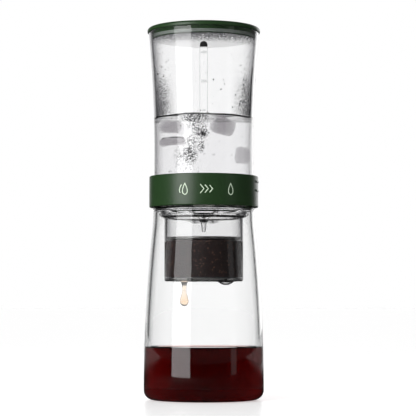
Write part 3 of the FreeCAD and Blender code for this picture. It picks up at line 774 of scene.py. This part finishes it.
@dataclass
class Carafe:
    """The glass carafe and the coffee that has dripped into it."""

    foot: float = 46.6
    corner: float = 7.6
    foot_ring: float = 30.0
    punt: float = 3.0
    wall: float = 2.8
    shoulder: float = 40.2
    shoulder_drop: float = 14.8
    height: float = 146.6
    rim: float = 0.8
    coffee_level: float = 40.3
    meniscus: float = 1.1
    meniscus_width: float = 2.6
    overlap: float = 0.25
    sides: int = 160

    def __post_init__(self) -> None:
        """Work out the wall's two arcs."""
        self.bend_z = self.height - self.shoulder_drop
        self.body = WallArc((self.foot, self.corner), (self.shoulder, self.bend_z))
        reach = self.shoulder_drop / math.sin(self.body.angle)
        self.mouth = self.shoulder - reach * (1 - math.cos(self.body.angle))
        self.neck = WallArc((self.mouth, self.height), (self.shoulder, self.bend_z))

    def dome(self, base: float, steps: int = 10) -> list[Point]:
        """Return the floor's dome, from the axis out, above a height."""
        sphere = (self.foot_ring ** 2 + self.punt ** 2) / (2 * self.punt)
        radii = [self.foot_ring * i / steps for i in range(steps + 1)]
        return [(r, base + self.punt - (sphere - math.sqrt(sphere ** 2 - r ** 2))) for r in radii]

    def bend(self, radius: float, steps: int = 10) -> list[Point]:
        """Return the foot's rounded corner, from the table up."""
        middle = (self.foot - self.corner, self.corner)
        turns = [math.pi / 2 * i / steps for i in range(steps + 1)]
        return [(middle[0] + radius * math.sin(a), middle[1] - radius * math.cos(a)) for a in turns]

    def glass(self) -> Piece:
        """Return the carafe's wall, floor and rim."""
        inner_bend = self.bend_z - self.wall * math.sin(self.body.angle)
        lip = self.height - self.rim
        return lathe("carafe_wall", [
            *self.dome(0.0), *self.bend(self.corner), *self.body.points(self.corner, self.bend_z)[1:],
            *self.neck.points(self.bend_z, lip, 0.0, 6)[1:], (self.mouth, self.height, self.rim),
            (self.mouth - self.wall, self.height, self.rim), *self.neck.points(lip, inner_bend, self.wall, 6),
            *self.body.points(inner_bend, self.corner, self.wall)[1:],
            *self.bend(self.corner - self.wall)[::-1][1:], *self.dome(self.wall)[::-1]], steps=self.sides)

    def coffee(self) -> Piece:
        """Return the coffee, which reaches a little into the glass so that no air shows between."""
        inset = self.wall - self.overlap
        top = self.coffee_level + self.meniscus
        edge = self.body.at(top, inset) - self.overlap
        curve = [(edge - self.meniscus_width * share, top - self.meniscus * (1 - (1 - share) ** 2))
                 for share in (step / 6 for step in range(1, 7))]
        return lathe("brewed_coffee", [
            *self.dome(inset), *self.bend(self.corner - inset),
            *self.body.points(self.corner, top, inset)[1:], *curve, (0.0, self.coffee_level)],
            steps=self.sides)

    def build(self, finishes: Finishes) -> None:
        """Build and dress the carafe and its coffee."""
        dress(self.glass(), finishes.glass, Body.CARAFE, Slot.CARAFE_GLASS, "carafe")
        dress(self.coffee(), finishes.coffee, Body.CARAFE, Slot.CARAFE_GLASS)


@dataclass
class Cup:
    """The cup, its cover, the grounds in it and the drops under it.

    The lip and the drops are lines of radius and height; the lip's heights start at the dish's
    lowest point, and the drops' at the cup's underside.
    """

    rim: float = 146.6
    depth: float = 55.0
    radius: float = 30.8
    wall: float = 1.8
    floor: float = 2.0
    corner: float = 1.5
    neck_step: float = 3.0
    neck_depth: float = 4.6
    neck_taper: float = 1.4
    flange: float = 1.1
    flange_radius: float = 38.85
    ledge_drop: float = 4.0
    ledge: float = 2.0
    groove: float = 0.8
    groove_drop: float = 1.9
    groove_height: float = 2.4
    hub: float = 6.0
    floor_rim: float = 3.0
    spokes: int = 6
    spoke_width: float = 3.0
    cover_fit: float = 0.3
    cover_wall: float = 1.0
    cover_skirt: float = 2.2
    dish: float = 4.4
    dish_mouth: float = 9.4
    lip: tuple[Point, ...] = ((8.4, -0.08), (7.6, 0.45), (7.2, 1.2), (7.05, 2.1), (7.45, 2.35), (7.9, 2.1),
                              (8.05, 1.5), (8.6, 1.02))
    disc: float = 0.55
    bed: float = 29.6
    bed_press: float = 0.12
    air: float = 0.05
    falling: tuple[Point, ...] = ((0, 0.4), (3.1, 0.3), (2.7, -0.6), (2.1, -1.8), (1.75, -3.6), (1.6, -6.0),
                                  (1.65, -8.0), (2.0, -10.0), (2.7, -12.2), (3.25, -14.2), (3.35, -15.6),
                                  (3.0, -17.2), (2.1, -18.4), (1.0, -19.0), (0, -19.15))
    falling_place: Point = (-14.9, -12.0)
    swelling: tuple[Point, ...] = ((0, 0.3), (6.8, 0.2), (6.0, -0.5), (4.8, -1.4), (3.4, -2.2), (1.8, -2.7),
                                   (0, -2.85))
    swelling_place: Point = (17.0, -10.0)

    def __post_init__(self) -> None:
        """Work out the cup's levels."""
        self.top = self.rim + self.flange
        self.base = self.rim - self.depth
        self.floor_top = self.base + self.floor
        self.inner = self.radius - self.wall
        self.ledge_z = self.top - self.ledge_drop
        self.neck = self.radius + self.neck_step

    def body(self) -> Piece:
        """Return the cup with its grooved neck and windowed floor."""
        step_z = self.rim - self.neck_depth
        groove_top = self.rim - self.groove_drop
        groove_low = groove_top - self.groove_height
        groove = self.neck - self.groove
        under = self.rim + self.air
        over = self.top - self.air
        mouth = self.inner + self.ledge
        cup = lathe("cup_wall", [
            (0, self.base), (self.radius, self.base, self.corner),
            (self.radius, step_z - self.neck_taper, 0.6), (self.neck, step_z, 0.2), (self.neck, groove_low),
            (groove, groove_low), (groove, groove_top), (self.neck, groove_top, 0.15),
            (self.neck, under, 0.3), (self.flange_radius, under, 0.2), (self.flange_radius, over, 0.4),
            (mouth, over, 0.3), (mouth, self.ledge_z), (self.inner, self.ledge_z, 0.3),
            (self.inner, self.floor_top, 0.8), (0, self.floor_top)])
        window = 360.0 / self.spokes
        reach = self.inner - self.floor_rim
        gap = math.degrees(self.spoke_width / reach)
        low = self.base - 1
        high = self.floor_top + 1
        loop = [(self.hub, low), (reach, low), (reach, high), (self.hub, high)]
        cutters = [lathe(f"window_{i}", loop, True, 14, window - gap, i * window + gap / 2)
                   for i in range(self.spokes)]
        return carve(cup, join("windows", cutters))

    def cover(self) -> Piece:
        """Return the clear dish that falls to a turned-up lip round its open centre."""
        skirt = self.inner - self.cover_fit
        rim = skirt + self.ledge
        edge = self.ledge_z - self.cover_skirt
        seat = self.ledge_z + self.air
        top = self.ledge_z + self.cover_wall
        under = [(skirt, edge)]
        for step in range(1, 15):
            share = step / 14
            fall = self.dish * (0.55 * share + 0.45 * share ** 2.6)
            under.append((skirt + (self.dish_mouth - skirt) * share, edge - fall))
        over = [(r, z + self.cover_wall) for r, z in under[:0:-1]]
        lip = [(r, edge - self.dish + z) for r, z in self.lip]
        return lathe("cover_dish", [
            *under, *lip, *over, (skirt - self.cover_wall, edge + 0.95), (skirt - self.cover_wall, top, 0.3),
            (rim, top, 0.3), (rim, seat), (skirt, seat)], True)

    def grounds(self) -> Piece:
        """Return the bed of wet ground coffee between the two steel discs."""
        low = self.floor_top + self.disc
        top = self.floor_top + self.bed
        wall = self.inner + self.bed_press
        bed = lathe("ground_coffee", [
            (0, low), *[(wall * i / 8, low) for i in range(1, 9)],
            *[(wall, low + (top - low) * i / 18) for i in range(1, 19)],
            *[(wall * i / 10, top) for i in range(9, 0, -1)], (0, top)], steps=96)
        rough_up(bed, 1.6, 0.5)
        return settle(bed, 80.0)

    def drop(self, name: str, line: tuple[Point, ...], place: Point, steps: int) -> Piece:
        """Return a drop that hangs from the underside."""
        return shift(lathe(name, [(r, self.base + z) for r, z in line], steps=steps), place)

    def build(self, finishes: Finishes) -> None:
        """Build and dress the cup and what is in it."""
        dress(self.body(), finishes.plastic, Body.CUP, Slot.CLEAR, "cup_body")
        dress(self.cover(), finishes.dish, Body.COVER, Slot.CLEAR, "cup_cover")
        dress(self.grounds(), finishes.grounds, Body.CUP, Slot.DARK_RUBBER)
        dress(self.drop("coffee_drop", self.falling, self.falling_place, 32), finishes.coffee_drop,
              Body.CUP, Slot.CLEAR)
        dress(self.drop("swelling_drop", self.swelling, self.swelling_place, 40), finishes.drops,
              Body.CUP, Slot.CLEAR)


@dataclass
class Funnel:
    """The clear plate, cone, posts and nozzle under the dial."""

    low: float = 147.7
    plate: float = 1.4
    radius: float = 39.6
    cone: float = 14.9
    cone_depth: float = 7.8
    wall: float = 1.3
    bore: float = 1.1
    spout: float = 2.3
    spout_length: float = 1.7
    spout_fit: float = 0.05
    post: float = 3.0
    post_circle: float = 26.0
    posts: int = 3
    post_top: float = 156.5
    collar: float = 3.3
    collar_height: float = 2.1
    nozzle_top: float = 2.25
    nozzle_tip: float = 1.4
    nozzle_length: float = 7.5
    nozzle_bore: float = 0.7
    air: float = 0.05

    def __post_init__(self) -> None:
        """Work out the heights of the cone's tip and the spout's end."""
        self.tip = self.low - self.cone_depth
        self.spout_low = self.tip - self.spout_length

    def plate_and_cone(self) -> Piece:
        """Return the plate with its cone and three posts."""
        under = self.low + self.air
        top = self.low + self.plate
        pieces = [lathe("funnel_plate", [
            (self.bore, self.spout_low), (self.spout, self.spout_low), (self.spout, self.tip, 0.3),
            (self.cone, under, 1.5), (self.radius, under, 0.4), (self.radius, top, 0.4),
            (self.cone, top, 1.2), (self.bore, self.tip + self.wall, 0.3)], True)]
        for i in range(self.posts):
            turn = math.radians(90 + 360 * i / self.posts)
            place = (self.post_circle * math.cos(turn), self.post_circle * math.sin(turn))
            pieces.append(bar(f"post_{i}", self.post, top + self.air, self.post_top, place))
        return join("funnel_plate", pieces)

    def nozzle(self) -> Piece:
        """Return the collar and tapered outlet."""
        shoulder = self.tip - self.collar_height
        end = shoulder - self.nozzle_length
        socket = self.spout + self.spout_fit
        return lathe("nozzle", [
            (self.nozzle_bore, end), (self.nozzle_tip, end, 0.3), (self.nozzle_top, shoulder, 0.3),
            (self.collar, shoulder, 0.3), (self.collar, self.tip - self.air, 0.3),
            (socket, self.tip - self.air), (socket, self.spout_low - self.air),
            (self.nozzle_bore, self.spout_low - self.air)], True, 48)

    def build(self, finishes: Finishes) -> None:
        """Build and dress the funnel."""
        dress(self.plate_and_cone(), finishes.thin, Body.TANK, Slot.CLEAR, "drip_funnel")
        dress(self.nozzle(), finishes.spout, Body.TANK, Slot.CLEAR, "drip_nozzle")


@dataclass
class Dial:
    """The green ring that sets the drip rate, with its printed signs."""

    low: float = 149.3
    height: float = 24.2
    radius: float = 42.55
    wall: float = 3.0
    pocket_wall: float = 1.7
    pocket_top: float = 152.0
    rounding: float = 0.8
    rib_heights: Point = (12.6, 19.6)
    rib_half: float = 0.9
    rib_proud: float = 0.5
    rib_root: float = 0.6
    rib_angle: float = 12.0
    stroke: float = 0.62
    drop_size: Point = (4.6, 8.4)
    small_drop_size: Point = (4.0, 6.6)
    small_drop_place: Point = (-2.75, 0.1)
    small_drop_share: Point = (0.57, 0.985)
    drop_turn: float = 28.9
    pair_turn: float = -19.6
    arrows_turn: float = 3.0
    arrow_pitch: float = 3.3
    arrow_back: float = 2.0
    arrow_heights: Corner = (6.8, 6.1, 5.5)

    def ring(self) -> Piece:
        """Return the ring with two grip ribs on its right side."""
        top = self.low + self.height
        inner = self.radius - self.wall
        pocket = self.radius - self.pocket_wall
        pieces = [lathe("dial_grip", [
            (pocket, self.low, 0.2), (self.radius, self.low, self.rounding),
            (self.radius, top, self.rounding), (inner, top, 0.5), (inner, self.pocket_top),
            (pocket, self.pocket_top)], True, 160)]
        root = self.radius - self.rib_root
        proud = self.radius + self.rib_proud
        for i, height in enumerate(self.rib_heights):
            low = self.low + height - self.rib_half
            high = low + 2 * self.rib_half
            loop = [(root, low), (proud, low, 0.5), (proud, high, 0.5), (root, high)]
            pieces.append(lathe(f"rib_{i}", loop, True, 12, self.rib_angle, -self.rib_angle / 2))
        return join("dial_grip", pieces)

    def drop(self, size: Point, place: Point, first: float = 0.0, last: float = 1.0) -> list[Point]:
        """Return a teardrop outline, or the part of it from one share to another.

        Args:
            size: width and height.
            place: its middle, along the ring and up.
            first: share of the outline at which it starts, with 0 at the point.
            last: share at which it ends.

        Returns:
            The outline's points.
        """
        count = 44
        points = []
        for i in range(count):
            t = 2 * math.pi * (first + (last - first) * i / (count - (last - first < 1)))
            bulge = math.sin(t) * abs(math.sin(t / 2)) ** 1.1
            points.append((place[0] + size[0] * 0.56 * bulge, place[1] + size[1] / 2 * math.cos(t)))
        return points

    def signs(self) -> Piece:
        """Return the printed signs: two drops, three arrows and one drop."""
        middle = self.low + self.height / 2
        along = math.radians(1) * self.radius
        pair = self.pair_turn * along
        beside = (pair + self.small_drop_place[0], middle + self.small_drop_place[1])
        paths = [(self.drop(self.drop_size, (self.drop_turn * along, middle)), True),
                 (self.drop(self.drop_size, (pair, middle)), True),
                 (self.drop(self.small_drop_size, beside, *self.small_drop_share), False)]
        for i, height in enumerate(self.arrow_heights):
            tip = (self.arrows_turn * along - self.arrow_back + self.arrow_pitch * i, middle)
            back = tip[0] - height * 0.42
            paths.append(([(back, middle + height / 2), tip, (back, middle - height / 2)], False))
        return wrap(ribbon("dial_signs", paths, self.stroke), lambda z: self.radius)

    def build(self, finishes: Finishes) -> None:
        """Build and dress the dial."""
        dress(self.ring(), finishes.green, Body.DIAL, Slot.GREEN, "dial_ring")
        dress(self.signs(), finishes.mint, Body.DIAL, Slot.GREEN)


@dataclass
class Tank:
    """The water tank with its scale, water, ice, beads of water, and mist that also paints shade on the tank's
    flanks.

    A block of ice is x, y, z, size, height and turn in degrees. A splash is x, z, their two
    spreads and how many beads it has.
    """

    skirt_z: float = 152.98
    skirt: float = 3.6
    floor: float = 2.2
    radius: float = 38.65
    wall: float = 2.2
    straight: float = 35.2
    height: float = 129.9
    rim_radius: float = 43.2
    rim: float = 0.6
    corner: float = 2.0
    hole: float = 8.58
    air: float = 0.05
    water_level: float = 218.6
    overlap: float = 0.25
    scale_half: float = 2.9
    scale_top: float = 269.6
    scale_low: float = 212.0
    dome_height: float = 4.3
    marks: Corner = (265.4, 243.4, 221.4)
    numerals: tuple[str, str] = ("450", "350")
    numeral_size: float = 2.9
    ice: tuple[Corner, ...] = (
        (-21.0, -4.0, 212.0, 13.5, 9.5, 12.0), (-15.4, -12.0, 209.0, 4.5, 9.5, 5.0),
        (-17.5, 6.0, 201.0, 14.0, 6.0, -8.0), (12.1, -7.0, 211.8, 14.5, 13.0, 28.0),
        (23.0, 2.0, 190.0, 9.0, 13.0, 10.0), (-1.0, -14.0, 205.5, 7.0, 5.0, 40.0))
    splashes: tuple[Corner, ...] = (
        (-5.5, 215.5, 6.5, 2.4, 120), (-4.0, 208.0, 4.5, 3.6, 60), (-1.5, 203.0, 2.2, 1.6, 50),
        (-10.5, 186.5, 3.0, 4.6, 120), (-6.0, 195.0, 5.0, 6.0, 40), (-21.0, 188.0, 2.5, 7.0, 20))
    spray: tuple[Corner, ...] = (
        (-6.5, 215.8, 12.0, 4.2, 0.8), (-4.0, 209.0, 7.0, 6.0, 0.65), (-1.0, 205.0, 6.0, 3.4, 0.9),
        (-10.5, 187.0, 6.5, 8.5, 0.8), (-2.0, 195.0, 3.5, 7.0, 0.6), (-9.0, 198.0, 5.0, 6.0, 0.45),
        (-20.0, 187.0, 4.0, 9.0, 0.2), (-32.0, 232.0, 6.0, 18.0, 0.4), (33.0, 234.0, 5.0, 22.0, 0.45))

    def __post_init__(self) -> None:
        """Work out the tank's levels and its flare."""
        self.floor_z = self.skirt_z + self.skirt
        self.floor_top = self.floor_z + self.floor
        self.top = self.floor_z + self.height
        self.straight_z = self.floor_z + self.straight
        self.flare = WallArc((self.radius, self.straight_z), (self.rim_radius, self.top))

    def at(self, z: float, inset: float = 0.0) -> float:
        """Return the wall's radius at any height."""
        return self.radius - inset if z <= self.straight_z else self.flare.at(z, inset)

    def shell(self) -> Piece:
        """Return the tank's skirt, floor and flared wall."""
        inner = self.radius - self.wall
        top = self.top - self.air
        return lathe("tank_wall", [
            (inner, self.skirt_z, 0.3), (self.radius, self.skirt_z, 0.3),
            *self.flare.points(self.straight_z, top - self.rim, 0.0, 18),
            (self.flare.at(top), top, self.rim), (self.flare.at(top, self.wall), top, self.rim),
            *self.flare.points(top - self.rim, self.straight_z, self.wall, 18),
            (inner, self.floor_top, self.corner), (self.hole, self.floor_top), (self.hole, self.floor_z),
            (inner, self.floor_z, 0.6)], True, 160)

    def water(self) -> Piece:
        """Return the water, with a level that ripples round the ice."""
        level = self.water_level
        reach = self.wall - self.overlap
        low = self.floor_top - self.overlap
        edge = self.at(level, reach)
        water = lathe("water", [
            (0, low), (self.radius - reach, low, self.corner + self.overlap),
            *self.flare.points(self.straight_z, level + 0.9, reach, 10), (edge - 0.7, level + 0.45),
            (edge - 1.5, level + 0.1), *[(edge * i / 20, level) for i in range(19, -1, -1)]])
        for vertex in water.data.vertices:
            x, y, z = vertex.co / MM
            if z > level - 1.0:
                turn = math.atan2(y, x)
                wave = 0.28 * math.sin(3 * turn + 0.6) + 0.2 * math.sin(7 * turn + 2.0)
                swell = 0.06 * math.sin(x * 0.42 + 1.0) * math.sin(y * 0.5)
                vertex.co.z += (wave * math.hypot(x, y) / edge + swell) * MM
        return settle(water, 50.0)

    def ice_block(self, index: int) -> Piece:
        """Return one melting ice cube, its corners rounded away."""
        x, y, z, size, height, turn = self.ice[index]
        deselect()
        bpy.ops.mesh.primitive_cube_add(size=size * MM, location=(x * MM, y * MM, z * MM),
                                        rotation=[math.radians(turn * share) for share in (0.4, 0.5, 1.0)],
                                        scale=(1.0, 0.9, height / size))
        block = bpy.context.object
        block.name = f"ice_{index}"
        settle(block)
        open_mesh()
        bpy.ops.mesh.bevel(offset=min(size, height) * 0.3 * MM, segments=3)
        bpy.ops.mesh.subdivide(number_cuts=2)
        bpy.ops.object.mode_set(mode="OBJECT")
        rough_up(block, size * 0.6, size * 0.12)
        return settle(block, 180.0)

    def scale_lines(self) -> Piece:
        """Return the two fine lines of the scale and the lowest mark."""
        steps = 24
        heights = [self.scale_low + (self.scale_top - self.scale_low) * i / steps for i in range(steps + 1)]
        sides = [([(side * self.scale_half, z) for z in heights], False) for side in (-1, 1)]
        dash = ([(x, self.marks[2]) for x in (-1.6, 0.0, 1.6)], False)
        lines = ribbon("scale_lines", sides, 0.22)
        return wrap(join("scale_lines", [lines, ribbon("dash", [dash], 0.45)]), self.at)

    def scale_dome(self) -> Piece:
        """Return the black dome at the head of the scale."""
        half = self.scale_half
        rise = self.dome_height - half
        rows = []
        for i in range(13):
            z = self.dome_height * i / 12
            reach = half if z <= rise else math.sqrt(max(half ** 2 - (z - rise) ** 2, 0.0004))
            rows.append((reach, self.scale_top + z))
        verts = [(side * r, z) for r, z in rows for side in (-1, -0.5, 0, 0.5, 1)]
        faces = [(5 * i + j, 5 * i + j + 1, 5 * i + j + 6, 5 * i + j + 5) for i in range(12) for j in range(4)]
        return wrap(flat("scale_dome", verts, faces), self.at)

    def scale_numerals(self) -> Piece:
        """Return the plain numerals of the scale."""
        parts = []
        for text, height in zip(self.numerals, self.marks):
            deselect()
            bpy.ops.object.text_add(location=(0, 0, height * MM), rotation=(math.pi / 2, 0, 0))
            words = bpy.context.object.data
            words.body = text
            words.size = self.numeral_size * MM
            words.align_x = words.align_y = "CENTER"
            bpy.ops.object.convert(target="MESH")
            bpy.ops.object.transform_apply(location=True, rotation=True, scale=True)
            parts.append(bpy.context.object)
        return wrap(join("scale_numerals", parts), self.at)

    def bead_spots(self) -> list[Corner]:
        """Return each bead's turn in degrees, height and radius: splashes in front, strays elsewhere."""
        dice = random.Random(7)
        spots = []
        for x, z, width, height, count in self.splashes:
            for _ in range(count):
                across = dice.gauss(x, width)
                up = dice.gauss(z, height)
                size = 0.34 + 0.5 * dice.random() ** 3
                spots.append((math.degrees(math.asin(across / 40.0)), up, size))
        for _ in range(70):
            turn = dice.choice((-1, 1)) * dice.uniform(38.0, 62.0)
            spots.append((turn, dice.uniform(222.0, 272.0), 0.26 + 0.6 * dice.random() ** 3))
        for _ in range(160):
            spots.append((dice.uniform(80.0, 280.0), dice.uniform(176.0, 276.0),
                          0.18 + 0.5 * dice.random() ** 3))
        return spots

    def beads(self) -> Piece:
        """Return the beads of water on the wall as one piece, each a low dome of few faces."""
        deselect()
        bpy.ops.mesh.primitive_uv_sphere_add(segments=8, ring_count=5, radius=MM, location=(0, 0, 0))
        pattern = bpy.context.object
        pattern.scale = (1.0, 0.55, 1.15)
        mesh = settle(pattern, 180.0).data
        bpy.data.objects.remove(pattern)
        beads = []
        for turn, z, size in self.bead_spots():
            bead = stand("beads_of_water", mesh.copy())
            angle = math.radians(turn)
            reach = self.at(z) * MM
            bead.location = (reach * math.sin(angle), -reach * math.cos(angle), z * MM)
            bead.rotation_euler = (0, 0, angle)
            bead.scale = (size, size, size)
            beads.append(bead)
        piece = join("beads_of_water", beads)
        bpy.data.meshes.remove(mesh)
        return settle(piece, 180.0)

    def skin(self, name: str, low: float, high: float, insets: Point, count: int) -> Piece:
        """Return a thin skin that follows the tank's wall.

        Args:
            name: the piece's name.
            low: the height at which it starts.
            high: the height at which it ends.
            insets: how far in from the wall's outside its two faces lie.
            count: how many steps it has.

        Returns:
            The finished skin.
        """
        heights = [low + (high - low) * i / count for i in range(count + 1)]
        outer, inner = insets
        return lathe(name, [*[(self.at(z, outer), z) for z in heights],
                            *[(self.at(z, inner), z) for z in heights[::-1]]], True, 96)

    def build(self, finishes: Finishes) -> None:
        """Build and dress the tank and what is in it."""
        dress(self.shell(), finishes.tank, Body.TANK, Slot.CLEAR, "tank_body")
        dress(self.water(), finishes.water, Body.TANK, Slot.CLEAR)
        for index in range(len(self.ice)):
            dress(self.ice_block(index), finishes.ice, Body.TANK, Slot.CLEAR)
        dress(self.scale_lines(), finishes.faint_ink, Body.TANK, Slot.DARK_RUBBER)
        dress(self.scale_dome(), finishes.ink, Body.TANK, Slot.DARK_RUBBER)
        dress(self.scale_numerals(), finishes.faint_ink, Body.TANK, Slot.DARK_RUBBER)
        dress(self.beads(), finishes.beads, Body.TANK, Slot.CLEAR)
        # The mist skin is condensation, and on the flanks it is a painted shade as well.
        mist_insets = (self.wall + 0.06, self.wall + 0.16)
        mist = self.skin("mist", self.water_level + 1.5, self.top - 5.6, mist_insets, 16)
        dress(mist, MistAndFlankShade().build(), Body.TANK, Slot.CLEAR)
        spray = Speckle("spray", self.spray, srgb(66, 65, 68), 1350.0).build()
        dress(self.skin("spray", 176.0, 258.0, (-0.1, -0.04), 12), spray, Body.TANK, Slot.CLEAR)


@dataclass
class Lid:
    """The green lid, its plug, its ribbed seal and the film of water under it."""

    low: float = 286.48
    radius: float = 44.2
    thickness: float = 3.5
    top_rounding: float = 2.2
    bottom_rounding: float = 0.5
    dished: float = 0.35
    plug_depth: float = 5.5
    plug_radius: float = 39.44
    plug_wall: float = 2.6
    plug_floor: float = 1.6
    seal_low: float = 0.7
    seal_height: float = 2.5
    seal_groove: float = 1.0
    seal_fit: float = 0.05
    rib: float = 0.7
    rib_reach: float = 40.5
    vent: float = 1.2
    vent_place: Point = (0.0, 25.0)

    def __post_init__(self) -> None:
        """Work out the levels of the lid, the plug and the seal."""
        self.top = self.low + self.thickness
        self.base = self.low - self.plug_depth
        self.seal_z = self.base + self.seal_low
        self.seal_top = self.seal_z + self.seal_height
        self.groove = self.plug_radius - self.seal_groove

    def drill(self, piece: Piece) -> Piece:
        """Return a piece with the vent drilled through it."""
        return carve(piece, bar("vent", self.vent, self.base - 1, self.top + 1, self.vent_place, 0.2, 24))

    def cap(self) -> Piece:
        """Return the lid's disc, very slightly dished."""
        dip = self.top - self.dished
        return self.drill(lathe("lid_disc", [
            (0, self.low), (self.radius, self.low, self.bottom_rounding),
            (self.radius, self.top, self.top_rounding), (self.radius - 4.0, self.top, 2.0),
            (self.radius - 7.0, dip, 2.0), (0, dip)], steps=160))

    def plug(self) -> Piece:
        """Return the shallow cup under the disc."""
        inner = self.plug_radius - self.plug_wall
        floor = self.base + self.plug_floor
        return self.drill(lathe("lid_inner", [
            (0, self.base), (self.plug_radius, self.base, 0.3), (self.plug_radius, self.seal_z),
            (self.groove, self.seal_z), (self.groove, self.seal_top), (self.plug_radius, self.seal_top),
            (self.plug_radius, self.low), (inner, self.low), (inner, floor, 0.5), (0, floor)]))

    def seal(self) -> Piece:
        """Return the seal with its two ribs."""
        inner = self.groove + self.seal_fit
        gap = (self.seal_height - 2 * self.rib) / 3
        corners: list[Corner] = [(inner, self.seal_z), (self.plug_radius, self.seal_z)]
        for low in (self.seal_z + gap, self.seal_z + 2 * gap + self.rib):
            high = low + self.rib
            corners += [(self.plug_radius, low, 0.1), (self.rib_reach, low, 0.25),
                        (self.rib_reach, high, 0.25), (self.plug_radius, high, 0.1)]
        return lathe("lid_gasket", [*corners, (self.plug_radius, self.seal_top), (inner, self.seal_top)], True)

    def film(self) -> Piece:
        """Return the film of water on the plug's underside, open round the vent."""
        reach = self.plug_radius - 0.5
        low = self.base - 0.16
        high = self.base - 0.02
        return self.drill(lathe("film_of_water", [(0, low), (reach, low, 0.05), (reach, high), (0, high)]))

    def build(self, finishes: Finishes) -> None:
        """Build and dress the lid."""
        dress(self.cap(), finishes.green, Body.LID, Slot.GREEN, "lid_cap")
        dress(self.plug(), finishes.green, Body.LID, Slot.GREEN, "lid_plug")
        dress(self.seal(), finishes.seal, Body.LID, Slot.GREY_RUBBER, "lid_seal")
        dress(self.film(), Film().build(), Body.LID, Slot.CLEAR)


@dataclass
class Workings:
    """The pieces of the frame that keep their own shape and get a better finish."""

    def build(self, finishes: Finishes) -> None:
        """Give each node its finish."""
        by_finish = (
            (finishes.steel, ("cup_filter_disc", "spreader_disc", "valve_circlip", "needle", "cam_pins")),
            (finishes.rubber, ("filter_retaining_ring", "valve_o_ring")),
            (finishes.hub, ("dial_hub",)), (finishes.silicone, ("cup_centring_ring",)),
            (finishes.nylon, ("valve_body", "dial_bearing_ring", "needle_carrier")),
            (finishes.seal, ("valve_seat",)))
        for finish, nodes in by_finish:
            for name in nodes:
                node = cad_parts[name]
                node.data.materials.clear()
                node.data.materials.append(finish)
                LOG.info("%s keeps its shape, finish %s", name, finish.name)


@dataclass
class Studio:
    """The floor, the lamps, the world and the camera."""

    focal_px: float = 1700.0
    frame_px: float = 416.0
    sensor_mm: float = 36.0
    distance: float = 1.326
    eye: float = 0.0757
    aside: float = 0.0033
    pitch: float = 3.165
    fill_level: float = 0.42
    side_level: float = 0.6
    back_level: float = 1.16
    high_level: float = 0.3
    mirror_level: float = 0.04

    def floor(self) -> None:
        """Lay the floor."""
        deselect()
        bpy.ops.mesh.primitive_plane_add(size=40.0, location=(0, 0, -0.0003))
        floor = bpy.context.object
        floor.name = "floor"
        floor.data.materials.append(Floor().build())

    def lamp(self, name: str, turn: float, distance: float, size: Point, height: float, power: float) -> None:
        """Hang a soft lamp that faces the object.

        Args:
            name: the lamp's name.
            turn: degrees from the front towards +X.
            distance: metres from the axis.
            size: width and height in metres.
            height: of the lamp's middle.
            power: in watts.
        """
        data = bpy.data.lights.new(name, "AREA")
        data.shape = "RECTANGLE"
        data.size, data.size_y = size
        data.energy = power
        angle = math.radians(turn)
        lamp = stand(name, data)
        lamp.location = (distance * math.sin(angle), -distance * math.cos(angle), height)
        lamp.rotation_euler = (math.pi / 2, 0, angle)
        lamp.visible_transmission = False

    def world(self) -> None:
        """Light the room evenly, and show white where the camera or clear pieces look."""
        world = bpy.data.worlds.new("studio")
        bpy.context.scene.world = world
        world.use_nodes = True
        trail = Trail(world.node_tree)
        path = trail.add("LightPath").outputs
        way = trail.axes(trail.add("TexCoord").outputs["Generated"])
        sides = trail.soft(trail.math("ABSOLUTE", way["Y"]), 0.35, 0.85, self.side_level, self.back_level)
        band = trail.soft(trail.math("ABSOLUTE", way["Z"]), 0.22, 0.7, 1.0, self.high_level)
        mirrored = trail.soft(way["Y"], 0.8, 0.97, self.mirror_level, 1.0)
        reflected = trail.soft(path["Glossy Depth"], 0.4, 0.6, 0.0, 1.0)
        level: Socket | float = self.fill_level
        for share, strength in ((path["Is Transmission Ray"], trail.math("MULTIPLY", sides, band)),
                                (reflected, mirrored), (path["Is Camera Ray"], 1.0)):
            level = trail.add("Mix", data_type="FLOAT", in_Factor=share, in_A=level,
                              in_B=strength).outputs["Result"]
        light = trail.add("Background", in_Color=WHITE, in_Strength=level)
        trail.add("OutputWorld", in_Surface=light.outputs["Background"])

    def camera(self) -> None:
        """Set the camera at the photograph's height, distance and tilt."""
        data = bpy.data.cameras.new("camera")
        data.sensor_width = self.sensor_mm
        data.lens = self.focal_px / self.frame_px * self.sensor_mm
        camera = stand("camera", data)
        camera.location = (self.aside, -self.distance, self.eye)
        camera.rotation_euler = (math.radians(90.0 + self.pitch), 0, 0)
        bpy.context.scene.camera = camera

    def build(self) -> None:
        """Build the studio."""
        self.floor()
        self.lamp("key_softbox", -43.5, 0.75, (0.5, 0.9), 0.42, 6.4)
        self.lamp("side_softbox", 58.0, 0.95, (0.2, 0.9), 0.42, 0.25)
        self.lamp("back_softbox", 150.0, 1.1, (0.5, 0.8), 0.45, 2.0)
        self.world()
        self.camera()
        bpy.context.scene.view_settings.view_transform = "Standard"


def main() -> None:
    """Build every piece of the coffee maker and its studio."""
    logging.basicConfig(level=logging.INFO, format="%(name)s: %(message)s")
    finishes = Finishes()
    Studio().build()
    for assembly in (Carafe(), Cup(), Funnel(), Dial(), Tank(), Lid(), Workings()):
        assembly.build(finishes)
        LOG.info("%s is built", type(assembly).__name__)


if __name__ == "__main__":
    main()
